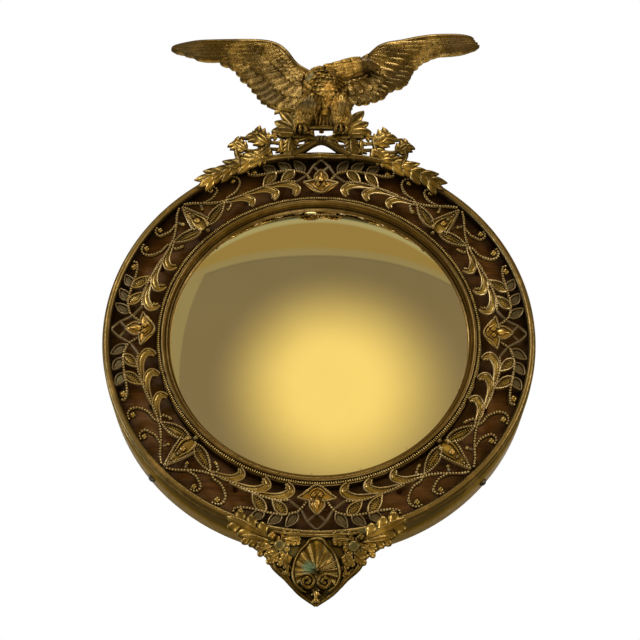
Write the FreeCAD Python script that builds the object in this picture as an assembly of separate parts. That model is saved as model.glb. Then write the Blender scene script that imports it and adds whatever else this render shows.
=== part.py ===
import FreeCAD, Part
import math
import os

# Convex bullseye mirror in antique brass: a rim band round a wooden board, a pierced scroll
# ring, a bezel that holds the domed glass, a leaf crest with a spread eagle, and a shell drop.
# Millimetres. X is right, Y goes into the wall, Z is up. The origin is where the ring's own
# axis meets the wall, so every front face looks towards -Y.

# Rim and board, the driving dimensions
RIM_R = 115.2
RIM_WALL = 1.2
RIM_DEPTH = 24.2
BEAD_INSET = 2.2
BEAD_R = 2.0
BEAD_RISE = 5.8
NECK_DROP = 0.9
NECK_WALL = 1.2
BOARD_THICK = 14.0
BOARD_RECESS = 5.0
BOARD_CLEARANCE = 0.15

# Glass, pad and bezel
GLASS_THICK = 2.4
GLASS_CURVE_R = 175.0
PAD_THICK = 0.8
PAD_WIDTH = 4.2
GLASS_CLEARANCE = 0.3
LIP_CLEARANCE = 0.1
LIP_LAP = 2.4
LIP_THICK = 0.8
BEZEL_WALL = 3.4
BEZEL_BEAD_R = 1.0
BEZEL_OVER_LIP = 0.5
BEZEL_GAP = 0.5
BEAD_RING_WIDTH = 2.6
BEAD_RING_BASE = 0.5

# Scroll ring
SCROLL_WIDTH = 23.5
SCROLL_EDGE_GAP = 0.1
SCROLL_THICK = 2.0
SCROLL_SET_BACK = 2.5
SEAM = 0.1
WIRE_WIDTH = 1.5
FOOT_R = 1.2
PIN_R = 0.8
PIN_HEAD_R = 1.7
PIN_HEAD_RISE = 1.1
PIN_DEPTH = 8.0
HOLE_CLEARANCE = 0.06

# Flower bosses on the four seams
FLOWER_SET_OUT = 6.0
FLOWER_RISE = 1.5
FLOWER_EYE_R = 2.4
FLOWER_EYE_RISE = 1.2
FLOWER_SEAT_R = 4.6
STUD_R = 1.0
STUD_DEPTH = 7.0

# Screws through the rim, the crest lugs and the drop lugs
SCREW_R = 1.4
SCREW_HEAD_R = 2.3
SCREW_HEAD_RISE = 1.7
SCREW_LENGTH = 14.0
SCREW_BACK = 8.5
LUG_THICK = 2.0
LUG_HALF_DEGREES = 2.2
LUG_BACK = 4.5
RIM_SCREW_DEGREES = 48.0
CREST_LUG_DEGREES = 16.0
DROP_LUG_DEGREES = 7.0
SEAT_GAP = 0.05

# Crest and drop castings, which lie just in front of the bead
CAST_GAP = 0.2
CAST_THICK = 3.0
LEAF_RELIEF = 1.4
CREST_HALF = 68.5
CREST_LAP = 23.7
CREST_RISE = 56.0
CREST_STEM_WIDTH = 3.2
PERCH_HEIGHT = 4.4
PERCH_HALF = 13.0
DROP_HALF = 45.0
DROP_LAP = 1.1
DROP_HANG = 35.9
EGG_HALF_WIDTH = 11.5
EGG_HALF_HEIGHT = 14.0
EGG_RISE = 2.4
SHELL_REACH = 17.5
ROSETTE_R = 6.0
ROSETTE_EYE_R = 3.0
ROSETTE_RISE = 1.8
ROSETTE_EYE_RISE = 2.5
CURL_BOSS_R = 3.4

# Eagle
EAGLE_RISE = 68.0
WING_SPAN_LEFT = 80.5
WING_SPAN_RIGHT = 80.0
ROOT_LEFT = 9.0
ROOT_RIGHT = 12.0
WING_THICK = 2.0
COVERT_RELIEF = 0.65
COVERT_INSET = 1.0
TRUNK_X = 1.5
TRUNK_HALF_WIDTH = 12.2
TRUNK_RISE = 15.5
HEAD_REACH = 29.5
HEAD_R = 5.6
HEAD_BACK_GAP = 0.3
THIGH_R = 5.4
LEG_R = 2.6
TAIL_HALF_WIDTH = 7.5
TAIL_THICK = 3.0
EAGLE_SCREW_R = 1.2
EAGLE_SCREW_LENGTH = 14.0
EAGLE_SCREW_HEAD_R = 2.2
EAGLE_SCREW_HEAD_RISE = 1.4

# Hanger on the back of the board
HANGER_DROP = 37.2
HANGER_WIDTH = 36.0
HANGER_HEIGHT = 12.0
HANGER_THICK = 1.2
HANGER_PIN_R = 1.0
HANGER_PIN_BACK = 2.0
HANGER_BARREL_R = 1.6
HANGER_BARREL_LENGTH = 8.0
HANGER_EAR_THICK = 2.2
HANGER_EAR_R = 1.7
HANGER_SIDE_GAP = 0.2
HANGER_FIT = 0.05
HANGER_HEAD_THICK = 0.6
EYE_R = 7.0
EYE_WIRE_R = 1.2
EYE_ROUND_SHARE = 0.8
EYE_NECK_SHARE = 1.4
HANGER_SCREW_SPACING = 26.0
HANGER_SCREW_R = 1.3
HANGER_SCREW_HEAD_R = 2.6
HANGER_SCREW_HEAD_RISE = 1.3
HANGER_SCREW_LENGTH = 9.0

# One overrun serves every cut
OVERRUN = 1.0

V = FreeCAD.Vector
ORIGIN = V(0, 0, 0)
INTO_WALL = V(0, 1, 0)
UP = V(0, 0, 1)
RIGHT = V(1, 0, 0)
FULL_TURN = 360.0
QUARTER_TURN = 90.0

# Radii that follow from the rim inwards: the bead, the scroll ring, the bezel and the glass
BEAD_CENTRE_R = RIM_R - BEAD_INSET
SCROLL_R_OUT = BEAD_CENTRE_R - BEAD_R - SCROLL_EDGE_GAP
SCROLL_R_IN = SCROLL_R_OUT - SCROLL_WIDTH
BEZEL_R_OUT = SCROLL_R_IN - BEZEL_GAP
BEZEL_R_IN = BEZEL_R_OUT - BEZEL_WALL
GLASS_R = BEZEL_R_IN - GLASS_CLEARANCE
SIGHT_R = GLASS_R - LIP_LAP
FLOWER_R = SCROLL_R_IN + FLOWER_SET_OUT
DROP_TOP_R = RIM_R - DROP_LAP

# Planes that follow, as depths along Y, and heights along Z
BEAD_FRONT_Y = -RIM_DEPTH - BEAD_RISE
BOARD_BACK_Y = -BOARD_RECESS
BOARD_FRONT_Y = BOARD_BACK_Y - BOARD_THICK
SCROLL_FRONT_Y = BEAD_FRONT_Y + SCROLL_SET_BACK
SCROLL_BACK_Y = SCROLL_FRONT_Y + SCROLL_THICK
SCROLL_RISE = BOARD_FRONT_Y - SCROLL_BACK_Y
CAST_BACK_Y = BEAD_FRONT_Y - CAST_GAP
CAST_FRONT_Y = CAST_BACK_Y - CAST_THICK
CAST_MID_Y = (CAST_BACK_Y + CAST_FRONT_Y) / 2
SCREW_Y = -SCREW_BACK
HANGER_Z = RIM_R - HANGER_DROP
CREST_FOOT_Z = RIM_R - CREST_LAP
PERCH_HEIGHT_SHARE = 0.685
PERCH_Z = CREST_FOOT_Z + PERCH_HEIGHT_SHARE * CREST_RISE
EAGLE_FOOT_Z = PERCH_Z + PERCH_HEIGHT / 2


def closed_face(edges):
    """Return the flat face inside a closed run of edges."""
    return Part.Face(Part.Wire(Part.__sortEdges__(edges)))


def line(start, end):
    """Return a straight edge."""
    return Part.LineSegment(start, end).toShape()


def arc(start, through, end):
    """Return an arc edge through three points."""
    return Part.Arc(start, through, end).toShape()


def spun(edges):
    """Turn a closed outline in the X Y plane once round the ring's axis."""
    return closed_face(edges).revolve(ORIGIN, INTO_WALL, FULL_TURN)


def spun_polygon(points):
    """Turn a polygon of (radius, depth) points round the ring's axis."""
    corners = [V(radius, depth, 0) for radius, depth in points]
    edges = [line(a, b) for a, b in zip(corners, corners[1:] + corners[:1])]
    return spun(edges)


def rod(start, direction, radius, length):
    """Return a cylinder."""
    return Part.makeCylinder(radius, length, start, direction)


def facing_wall(face):
    """Give every flat shape the same sense, so that joined shapes merge."""
    if face.normalAt(0, 0).y < 0:
        face.reverse()
    return face


def disc(centre, radius):
    """Return a flat disc in the X Z plane."""
    circle = Part.Circle(centre, INTO_WALL, radius).toShape()
    return facing_wall(Part.Face(Part.Wire(circle)))


def smooth(points):
    """Return a smooth edge through the points."""
    curve = Part.BSplineCurve()
    curve.interpolate(points)
    return curve.toShape()


def ribbon(points, widths):
    """Return a flat strip along the points, as wide at each as the widths say."""
    left = []
    right = []
    for index, point in enumerate(points):
        before = points[max(index - 1, 0)]
        after = points[min(index + 1, len(points) - 1)]
        along = (after - before).normalize()
        aside = along.cross(INTO_WALL) * (widths[index] / 2)
        left.append(point + aside)
        right.append(point - aside)
    edges = [smooth(left), line(left[-1], right[-1]), smooth(right), line(right[0], left[0])]
    return facing_wall(closed_face(edges))


def leaf(base, tip, width):
    """Return a pointed leaf with two arcs for sides."""
    middle = (base + tip) * 0.5
    aside = (tip - base).normalize().cross(INTO_WALL) * (width / 2)
    return facing_wall(closed_face([arc(base, middle + aside, tip), arc(tip, middle - aside, base)]))


def scallops(points, bulge_share):
    """Return arcs from point to point that bulge to the left of the way along."""
    edges = []
    for start, end in zip(points, points[1:]):
        chord = end - start
        swell = chord.cross(INTO_WALL) * bulge_share
        edges.append(arc(start, (start + end) * 0.5 + swell, end))
    return edges


def joined(faces):
    """Merge flat shapes into one."""
    return faces[0].fuse(faces[1:]).removeSplitter()


def raised(flat, back_y, thick):
    """Thicken a flat shape from the plane at back_y towards the front."""
    solids = []
    for face in flat.Faces:
        moved = face.copy()
        moved.translate(V(0, back_y, 0))
        solids.append(moved.extrude(V(0, -thick, 0)))
    return solids[0].fuse(solids[1:]) if len(solids) > 1 else solids[0]


def mirrored(shape):
    """Return the shape's copy on the other side of the upright middle plane."""
    return shape.mirror(ORIGIN, RIGHT)


def mirrored_faces(faces):
    """Return flat shapes with their copies on the other side."""
    return faces + [facing_wall(mirrored(face)) for face in faces]


def turned(shape, degrees):
    """Return the shape turned clockwise, as seen from the front, round the ring's axis."""
    copy = shape.copy()
    copy.rotate(ORIGIN, INTO_WALL, degrees)
    return copy


def half_round_loft(levels, back_y):
    """Loft upright half-round slices of (height, middle, half width, rise), flat at the back."""
    slices = []
    for height, middle, half_width, rise in levels:
        left = V(middle - half_width, back_y, height)
        right = V(middle + half_width, back_y, height)
        front = V(middle, back_y - rise, height)
        slices.append(Part.Wire([arc(left, front, right), line(right, left)]))
    return Part.makeLoft(slices, True)


def round_loft(stations):
    """Loft circles of (centre, radius) along the way from the first centre to the last."""
    slices = []
    for index, (centre, radius) in enumerate(stations):
        before = stations[max(index - 1, 0)][0]
        after = stations[min(index + 1, len(stations) - 1)][0]
        slices.append(Part.Wire(Part.Circle(centre, after - before, radius).toShape()))
    return Part.makeLoft(slices, True)


def radial_screw(degrees, seat_r):
    """Return a round-headed screw that points at the axis, with its head on seat_r."""
    head_ball_r = (SCREW_HEAD_R ** 2 + SCREW_HEAD_RISE ** 2) / (2 * SCREW_HEAD_RISE)
    seat = V(0, SCREW_Y, seat_r + SEAT_GAP)
    dome = Part.makeSphere(head_ball_r, seat + UP * (SCREW_HEAD_RISE - head_ball_r))
    head = dome.common(rod(seat, UP, SCREW_HEAD_R, SCREW_HEAD_RISE + OVERRUN))
    shank = rod(seat - UP * SCREW_LENGTH, UP, SCREW_R, SCREW_LENGTH)
    return turned(head.fuse(shank), degrees)


def radial_hole(degrees):
    """Return the cutter for one screw's hole through the rim and into the board."""
    start = V(0, SCREW_Y, RIM_R - SCREW_LENGTH - OVERRUN)
    length = SCREW_LENGTH + LUG_THICK + OVERRUN * 2
    return turned(rod(start, UP, SCREW_R + HOLE_CLEARANCE, length), degrees)


# Where the screws and pins stand round the ring
HALF_TURN = 180.0
rim_screw_angles = (
    RIM_SCREW_DEGREES, -RIM_SCREW_DEGREES, HALF_TURN - RIM_SCREW_DEGREES, HALF_TURN + RIM_SCREW_DEGREES,
)
crest_screw_angles = (CREST_LUG_DEGREES, -CREST_LUG_DEGREES)
drop_screw_angles = (HALF_TURN - DROP_LUG_DEGREES, HALF_TURN + DROP_LUG_DEGREES)
all_screw_angles = rim_screw_angles + crest_screw_angles + drop_screw_angles
screw_holes = [radial_hole(angle) for angle in all_screw_angles]

# Backboard: a turned disc with holes for the pins, studs and screws
board_r = RIM_R - RIM_WALL - BOARD_CLEARANCE
backboard = rod(V(0, BOARD_BACK_Y, 0), -INTO_WALL, board_r, BOARD_THICK)
STAR_PIN_SHARE = 0.40
pin_r_place = SCROLL_R_IN + STAR_PIN_SHARE * (SCROLL_R_OUT - SCROLL_R_IN)
pin_hole = rod(V(0, BOARD_FRONT_Y, pin_r_place), INTO_WALL, PIN_R + HOLE_CLEARANCE, PIN_DEPTH)
stud_hole = rod(V(0, BOARD_FRONT_Y, FLOWER_R), INTO_WALL, STUD_R + HOLE_CLEARANCE, STUD_DEPTH)
board_holes = list(screw_holes)
for corner in range(4):
    board_holes.append(turned(pin_hole, QUARTER_TURN * (corner + 0.5)))
    board_holes.append(turned(stud_hole, QUARTER_TURN * corner))
for side in (-1, 1):
    place = V(side * HANGER_SCREW_SPACING / 2, BOARD_BACK_Y, HANGER_Z)
    board_holes.append(rod(place, -INTO_WALL, HANGER_SCREW_R + HOLE_CLEARANCE, HANGER_SCREW_LENGTH))
backboard = backboard.cut(board_holes)

# Rim band: a wall that stands on the room's wall, a narrow neck and a rolled bead at the front
bead_y = BEAD_FRONT_Y + BEAD_R
neck_out_r = RIM_R - NECK_DROP
neck_in_r = neck_out_r - NECK_WALL
neck_out_y = bead_y + math.sqrt(BEAD_R ** 2 - (neck_out_r - BEAD_CENTRE_R) ** 2)
neck_in_y = bead_y + math.sqrt(BEAD_R ** 2 - (neck_in_r - BEAD_CENTRE_R) ** 2)
rim_points = [
    V(RIM_R - RIM_WALL, 0, 0),
    V(RIM_R, 0, 0),
    V(RIM_R, -RIM_DEPTH, 0),
    V(neck_out_r, -RIM_DEPTH - NECK_DROP, 0),
    V(neck_out_r, neck_out_y, 0),
]
bead_out = V(BEAD_CENTRE_R + BEAD_R, bead_y, 0)
bead_front = V(BEAD_CENTRE_R, BEAD_FRONT_Y, 0)
bead_in = V(BEAD_CENTRE_R - BEAD_R, bead_y, 0)
neck_in = V(neck_in_r, neck_in_y, 0)
neck_root = V(neck_in_r, -RIM_DEPTH - NECK_DROP, 0)
wall_root = V(RIM_R - RIM_WALL, -RIM_DEPTH, 0)
rim_edges = [line(a, b) for a, b in zip(rim_points, rim_points[1:])]
rim_edges.append(arc(rim_points[-1], bead_out, bead_front))
rim_edges.append(arc(bead_front, bead_in, neck_in))
rim_edges.append(line(neck_in, neck_root))
rim_edges.append(line(neck_root, wall_root))
rim_edges.append(line(wall_root, rim_points[0]))
rim_band = spun(rim_edges).cut(screw_holes)

# Convex glass: two spheres on one centre, with its edge on a felt ring on the board
glass_back_r = GLASS_CURVE_R - GLASS_THICK
glass_back_y = BOARD_FRONT_Y - PAD_THICK
dome_centre_y = glass_back_y + math.sqrt(glass_back_r ** 2 - GLASS_R ** 2)


def glass_front_y(radius):
    """Return the depth of the glass's front at a distance from the axis."""
    return dome_centre_y - math.sqrt(GLASS_CURVE_R ** 2 - radius ** 2)


def glass_back_depth(radius):
    """Return the depth of the glass's back at a distance from the axis."""
    return dome_centre_y - math.sqrt(glass_back_r ** 2 - radius ** 2)


half_r = GLASS_R / 2
front_edge = V(GLASS_R, glass_front_y(GLASS_R), 0)
back_edge = V(GLASS_R, glass_back_y, 0)
front_pole = V(0, glass_front_y(0), 0)
back_pole = V(0, glass_back_depth(0), 0)
mirror_glass = spun([
    arc(front_pole, V(half_r, glass_front_y(half_r), 0), front_edge),
    line(front_edge, back_edge),
    arc(back_edge, V(half_r, glass_back_depth(half_r), 0), back_pole),
    line(back_pole, front_pole),
])
pad_out_r = GLASS_R + GLASS_CLEARANCE / 2
mirror_pad = spun_polygon([
    (pad_out_r - PAD_WIDTH, BOARD_FRONT_Y),
    (pad_out_r, BOARD_FRONT_Y),
    (pad_out_r, glass_back_y),
    (pad_out_r - PAD_WIDTH, glass_back_y),
])

# Sight bezel: a wall on the board, a smooth bead and a lip that laps over the glass
lip_back_y = glass_front_y(SIGHT_R) - LIP_CLEARANCE
lip_root_y = glass_front_y(BEZEL_R_IN) - LIP_CLEARANCE
land_y = lip_back_y - LIP_THICK - BEZEL_OVER_LIP
bead_land_r = BEZEL_R_OUT - BEAD_RING_WIDTH
ROLL_RISE_SHARE = 0.2
roll_y = land_y - BEZEL_BEAD_R * ROLL_RISE_SHARE
roll_out = V(bead_land_r, roll_y, 0)
roll_front = V(bead_land_r - BEZEL_BEAD_R, roll_y - BEZEL_BEAD_R, 0)
roll_in = V(bead_land_r - BEZEL_BEAD_R * 2, roll_y, 0)
lip_front = V(SIGHT_R, lip_back_y - LIP_THICK, 0)
sight_bezel = spun([
    line(V(BEZEL_R_IN, BOARD_FRONT_Y, 0), V(BEZEL_R_OUT, BOARD_FRONT_Y, 0)),
    line(V(BEZEL_R_OUT, BOARD_FRONT_Y, 0), V(BEZEL_R_OUT, land_y, 0)),
    line(V(BEZEL_R_OUT, land_y, 0), V(bead_land_r, land_y, 0)),
    line(V(bead_land_r, land_y, 0), roll_out),
    arc(roll_out, roll_front, roll_in),
    line(roll_in, lip_front),
    line(lip_front, V(SIGHT_R, lip_back_y, 0)),
    line(V(SIGHT_R, lip_back_y, 0), V(BEZEL_R_IN, lip_root_y, 0)),
    line(V(BEZEL_R_IN, lip_root_y, 0), V(BEZEL_R_IN, BOARD_FRONT_Y, 0)),
])

# Beaded ring: a half-round strip on the bezel's land
strip_r = BEAD_RING_WIDTH / 2 - SEAT_GAP
strip_mid_r = BEZEL_R_OUT - BEAD_RING_WIDTH / 2
strip_top_y = land_y - BEAD_RING_BASE
bead_ring = spun([
    line(V(strip_mid_r - strip_r, land_y, 0), V(strip_mid_r + strip_r, land_y, 0)),
    line(V(strip_mid_r + strip_r, land_y, 0), V(strip_mid_r + strip_r, strip_top_y, 0)),
    arc(
        V(strip_mid_r + strip_r, strip_top_y, 0),
        V(strip_mid_r, strip_top_y - strip_r, 0),
        V(strip_mid_r - strip_r, strip_top_y, 0),
    ),
    line(V(strip_mid_r - strip_r, strip_top_y, 0), V(strip_mid_r - strip_r, land_y, 0)),
])

# Scroll ring: half of one quarter is drawn between a flower at 0 degrees and a star at 45.
# Each point is a share of the way from the inner to the outer radius, and an angle.


def polar(place):
    """Return the point at a radial share and an angle from the top."""
    share, degrees = place
    radius = SCROLL_R_IN + share * (SCROLL_R_OUT - SCROLL_R_IN)
    angle = math.radians(degrees)
    return V(radius * math.sin(angle), 0, radius * math.cos(angle))


# Plain wires: the branch that grows from the flower, and the vine, which runs from the star to
# the flower and crosses its twin above it. The rest start inside one of those two.
cross_shares = ((0.83, 2.8), (0.70, 0.9), (0.60, -0.3))
branch_shares = (
    (0.22, 1.6), (0.37, 3.0), (0.55, 5.2), (0.72, 9.4), (0.76, 14.3), (0.79, 18.0), (0.92, 20.6),
)
vine_shares = (
    (0.96, 45.4), (0.73, 40.7), (0.49, 36.3), (0.40, 31.0), (0.39, 28.2),
    (0.39, 25.5), (0.40, 22.1), (0.41, 18.5), (0.41, 14.8), (0.40, 10.6), (0.55, 5.2),
    (0.83, 2.8), (0.935, 1.2), (0.95, -1.0),
)
main_wire_shares = (branch_shares, vine_shares)
tendril_low_shares = ((0.49, 36.3), (0.50, 29.9), (0.68, 27.3), (0.86, 26.6), (0.94, 27.5))
tendril_high_shares = ((0.73, 40.7), (0.74, 36.2), (0.83, 34.3), (0.93, 34.5))
curl_shares = ((0.40, 31.0), (0.35, 33.2), (0.24, 33.7))
berry_stem_shares = ((0.73, 40.7), (0.55, 42.6), (0.44, 43.6))
side_wire_shares = (cross_shares, tendril_low_shares, tendril_high_shares, berry_stem_shares, curl_shares)
SIDE_START_SHARE = 0.6

# Volutes that swell and curl in towards the beaded ring, with widths as shares of the wire
volute_width_shares = (0.6, 2.4, 2.0, 1.2)
volute_shares = (
    ((0.39, 28.2), (0.29, 26.6), (0.17, 24.7), (0.06, 23.9)),
    ((0.40, 22.1), (0.30, 18.7), (0.18, 16.1), (0.06, 15.2)),
    ((0.41, 14.8), (0.30, 10.2), (0.17, 7.8), (0.06, 7.6)),
)

# Balls where wires curl up: place, and radius as a share of the wire
ball_shares = (
    ((0.92, 20.6), 1.5), ((0.92, 28.4), 1.25), ((0.93, 35.3), 1.2), ((0.09, 24.5), 0.95),
    ((0.09, 15.8), 0.95), ((0.09, 8.2), 0.95), ((0.23, 33.7), 0.9), ((0.57, 42.4), 0.85),
)

# Leaves: base, tip and width as a share of the wire
leaf_shares = (
    ((0.63, 6.7), (1.0, 7.3), 2.2), ((0.73, 10.7), (1.0, 12.5), 2.4), ((0.76, 14.6), (1.0, 16.7), 2.4),
    ((0.75, 9.9), (0.40, 13.2), 1.9), ((0.79, 15.0), (0.39, 20.0), 2.0),
)

# Star on the 45 degree line: half of its long petal, one side petal and its base
star_apex_shares = ((0.94, 45.0), (0.30, 41.6))
star_petal_shares = ((0.12, 44.2), (0.40, 34.6))
STAR_PETAL_WIDTH_SHARE = 3.0
STAR_BASE_R_SHARE = 2.2
star_base_shares = (0.16, 45.0)

half_faces = []
for points in main_wire_shares:
    half_faces.append(ribbon([polar(place) for place in points], [WIRE_WIDTH] * len(points)))
for points in side_wire_shares:
    widths = [WIRE_WIDTH * SIDE_START_SHARE] + [WIRE_WIDTH] * (len(points) - 1)
    half_faces.append(ribbon([polar(place) for place in points], widths))
for points in volute_shares:
    widths = [WIRE_WIDTH * share for share in volute_width_shares]
    half_faces.append(ribbon([polar(place) for place in points], widths))
for place, size_share in ball_shares:
    half_faces.append(disc(polar(place), WIRE_WIDTH * size_share))
for base, tip, width_share in leaf_shares:
    half_faces.append(leaf(polar(base), polar(tip), WIRE_WIDTH * width_share))
star_apex, star_corner = (polar(place) for place in star_apex_shares)
star_middle = polar((star_apex_shares[1][0], 45.0))
star_edges = [line(star_apex, star_corner), line(star_corner, star_middle), line(star_middle, star_apex)]
half_faces.append(facing_wall(closed_face(star_edges)))
petal_base, petal_tip = (polar(place) for place in star_petal_shares)
half_faces.append(leaf(petal_base, petal_tip, WIRE_WIDTH * STAR_PETAL_WIDTH_SHARE))
half_faces.append(disc(polar(star_base_shares), WIRE_WIDTH * STAR_BASE_R_SHARE))
half_faces.append(disc(V(0, 0, FLOWER_R), FLOWER_SEAT_R))

# The other half is the same drawing seen in the 45 degree line
star_line_normal = V(1, 0, -1)
other_half = [facing_wall(face.mirror(ORIGIN, star_line_normal)) for face in half_faces]
quarter_corners = [
    V(SEAM / 2, 0, SEAM / 2),
    V(SEAM / 2, 0, RIM_R),
    V(RIM_R, 0, RIM_R),
    V(RIM_R, 0, SEAM / 2),
]
quarter_edges = [line(a, b) for a, b in zip(quarter_corners, quarter_corners[1:] + quarter_corners[:1])]
quarter_window = facing_wall(closed_face(quarter_edges))
quarter_flat = half_faces[0].fuse(half_faces[1:] + other_half).common(quarter_window).removeSplitter()
quarter = raised(quarter_flat, SCROLL_BACK_Y, SCROLL_THICK)

# Cast feet stand on the board, and a pin at the star goes through the plate and its foot
foot_shares = ((0.39, 25.5), (0.39, 64.5), (STAR_PIN_SHARE, 45.0))
foot_places = [polar(place) for place in foot_shares]
for place in foot_places:
    foot = rod(place + V(0, BOARD_FRONT_Y, 0), -INTO_WALL, FOOT_R, SCROLL_RISE + SCROLL_THICK / 2)
    quarter = quarter.fuse(foot)
pin_place = foot_places[2]
pin_bore = rod(pin_place, -INTO_WALL, PIN_R + HOLE_CLEARANCE, -BEAD_FRONT_Y)
stud_bore = rod(V(0, 0, FLOWER_R), -INTO_WALL, STUD_R + HOLE_CLEARANCE, -BEAD_FRONT_Y)
quarter = quarter.cut([pin_bore, stud_bore, turned(stud_bore, QUARTER_TURN)])

quarter_names = ("upper_right", "lower_right", "lower_left", "upper_left")
scroll_quarters = {}
for index, name in enumerate(quarter_names):
    scroll_quarters["scroll_" + name] = turned(quarter, QUARTER_TURN * index)

# Escutcheon pins with domed heads, one at each star
pin_ball_r = (PIN_HEAD_R ** 2 + PIN_HEAD_RISE ** 2) / (2 * PIN_HEAD_RISE)
pin_seat = V(0, SCROLL_FRONT_Y, 0) + pin_place
pin_dome = Part.makeSphere(pin_ball_r, pin_seat + INTO_WALL * (pin_ball_r - PIN_HEAD_RISE))
pin_head = pin_dome.common(rod(pin_seat, -INTO_WALL, PIN_HEAD_R, PIN_HEAD_RISE + OVERRUN))
pin_length = SCROLL_THICK + SCROLL_RISE + PIN_DEPTH - OVERRUN
pin = pin_head.fuse(rod(pin_seat, INTO_WALL, PIN_R, pin_length))
scroll_pins = Part.makeCompound([turned(pin, QUARTER_TURN * index) for index in range(4)])

# Flower bosses: three petals and an eye, with a stud that goes through the seam to the board
bud_shares = ((0.2, 0.0), (1.95, 0.0))
side_petal_shares = ((-0.45, 0.0), (0.12, 1.95))
BUD_WIDTH_SHARE = 1.25
CUP_SET_SHARE = 0.5
CUP_R_SHARE = 0.75
SIDE_PETAL_WIDTH_SHARE = 1.2
flower_faces = [
    leaf(
        V(0, 0, FLOWER_R + bud_shares[0][0] * FLOWER_SEAT_R),
        V(0, 0, FLOWER_R + bud_shares[1][0] * FLOWER_SEAT_R),
        FLOWER_SEAT_R * BUD_WIDTH_SHARE,
    ),
    disc(V(0, 0, FLOWER_R - FLOWER_SEAT_R * CUP_SET_SHARE), FLOWER_SEAT_R * CUP_R_SHARE),
]
for side in (-1, 1):
    petal_ends = []
    for out_share, aside_share in side_petal_shares:
        petal_ends.append(V(side * aside_share * FLOWER_SEAT_R, 0, FLOWER_R + out_share * FLOWER_SEAT_R))
    base, tip = petal_ends
    flower_faces.append(leaf(base, tip, FLOWER_SEAT_R * SIDE_PETAL_WIDTH_SHARE))
flower = raised(joined(flower_faces), SCROLL_FRONT_Y, FLOWER_RISE)
flower_front = V(0, SCROLL_FRONT_Y - FLOWER_RISE, FLOWER_R)
eye_ball_r = (FLOWER_EYE_R ** 2 + FLOWER_EYE_RISE ** 2) / (2 * FLOWER_EYE_RISE)
eye_dome = Part.makeSphere(eye_ball_r, flower_front + INTO_WALL * (eye_ball_r - FLOWER_EYE_RISE))
eye_window = rod(flower_front, -INTO_WALL, FLOWER_EYE_R, FLOWER_EYE_RISE + OVERRUN)
flower = flower.fuse(eye_dome.common(eye_window))
stud_length = FLOWER_RISE + SCROLL_THICK + SCROLL_RISE + STUD_DEPTH - OVERRUN
flower = flower.fuse(rod(flower_front, INTO_WALL, STUD_R, stud_length))
flower_names = ("top", "right", "bottom", "left")
flowers = {}
for index, name in enumerate(flower_names):
    flowers["flower_" + name] = turned(flower, QUARTER_TURN * index)


# Crest and drop castings


def lug(degrees):
    """Return a tongue that lies on the rim's wall behind a casting, with its screw hole."""
    inner = RIM_R + SEAT_GAP
    corners = [
        V(0, CAST_BACK_Y - CAST_THICK / 2, inner),
        V(0, CAST_BACK_Y - CAST_THICK / 2, inner + LUG_THICK),
        V(0, -LUG_BACK, inner + LUG_THICK),
        V(0, -LUG_BACK, inner),
    ]
    edges = [line(a, b) for a, b in zip(corners, corners[1:] + corners[:1])]
    tongue = closed_face(edges).revolve(ORIGIN, INTO_WALL, LUG_HALF_DEGREES * 2)
    return turned(tongue, degrees - LUG_HALF_DEGREES).cut(radial_hole(degrees))


def crest_point(place):
    """Return a crest point from its shares of the half span and of the rise."""
    return V(place[0] * CREST_HALF, 0, CREST_FOOT_Z + place[1] * CREST_RISE)


# Stems of the right half: points, and widths as shares of the stem
crest_stem_shares = (
    (((0.13, 0.40), (0.29, 0.40), (0.48, 0.335), (0.66, 0.245), (0.82, 0.13), (0.92, 0.05)), 1.1),
    (((-0.02, 0.50), (0.09, 0.445), (0.19, 0.385)), 0.95),
    (((-0.02, 0.535), (0.12, 0.55), (0.26, 0.61)), 1.0),
    (((0.24, 0.60), (0.40, 0.555), (0.53, 0.575), (0.66, 0.535), (0.735, 0.44), (0.66, 0.29)), 0.95),
    (((0.27, 0.505), (0.36, 0.51), (0.46, 0.50)), 0.5),
    (((0.26, 0.43), (0.36, 0.43), (0.47, 0.42)), 0.5),
    (((0.50, 0.43), (0.60, 0.40), (0.72, 0.43)), 0.6),
)
# Leaves of the right half: base, tip and width as a share of the stem
crest_leaf_shares = (
    ((0.30, 0.58), (0.25, 0.285), 2.5), ((0.46, 0.55), (0.475, 0.25), 2.5),
    ((0.48, 0.50), (0.575, 0.645), 2.2), ((0.66, 0.50), (0.735, 0.53), 2.6),
    ((0.67, 0.25), (0.775, 0.345), 1.9), ((0.76, 0.16), (0.865, 0.26), 1.9),
    ((0.84, 0.10), (0.94, 0.165), 1.5), ((0.85, 0.115), (1.0, 0.0), 1.6),
    ((0.58, 0.29), (0.61, 0.17), 1.8), ((0.72, 0.21), (0.74, 0.085), 1.6),
)
# Jagged upright leaf: its inner edge laps the perch's end, and the rest goes round to its foot
JAGGED_EDGE_SHARE = 0.974808
jagged_edge_heights = (0.60, 0.74)
jagged_shares = (
    (0.25, 0.80), (0.27, 0.915), (0.325, 0.90), (0.385, 0.95), (0.38, 0.86),
    (0.36, 0.82), (0.43, 0.78), (0.405, 0.72), (0.455, 0.665), (0.40, 0.60), (0.30, 0.585),
)
crest_faces = []
for points, width_share in crest_stem_shares:
    stem_widths = [CREST_STEM_WIDTH * width_share] * len(points)
    crest_faces.append(ribbon([crest_point(place) for place in points], stem_widths))
relief_faces = []
for base, tip, width_share in crest_leaf_shares:
    relief_faces.append(leaf(crest_point(base), crest_point(tip), CREST_STEM_WIDTH * width_share))
jagged_points = []
for height_share in jagged_edge_heights:
    jagged_points.append(V(JAGGED_EDGE_SHARE * PERCH_HALF, 0, crest_point((0, height_share)).z))
jagged_points += [crest_point(place) for place in jagged_shares]
jagged_edges = [line(a, b) for a, b in zip(jagged_points, jagged_points[1:] + jagged_points[:1])]
crest_faces.append(facing_wall(closed_face(jagged_edges)))
crest_faces += relief_faces
knot_shares = (0, 0.52)
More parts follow.
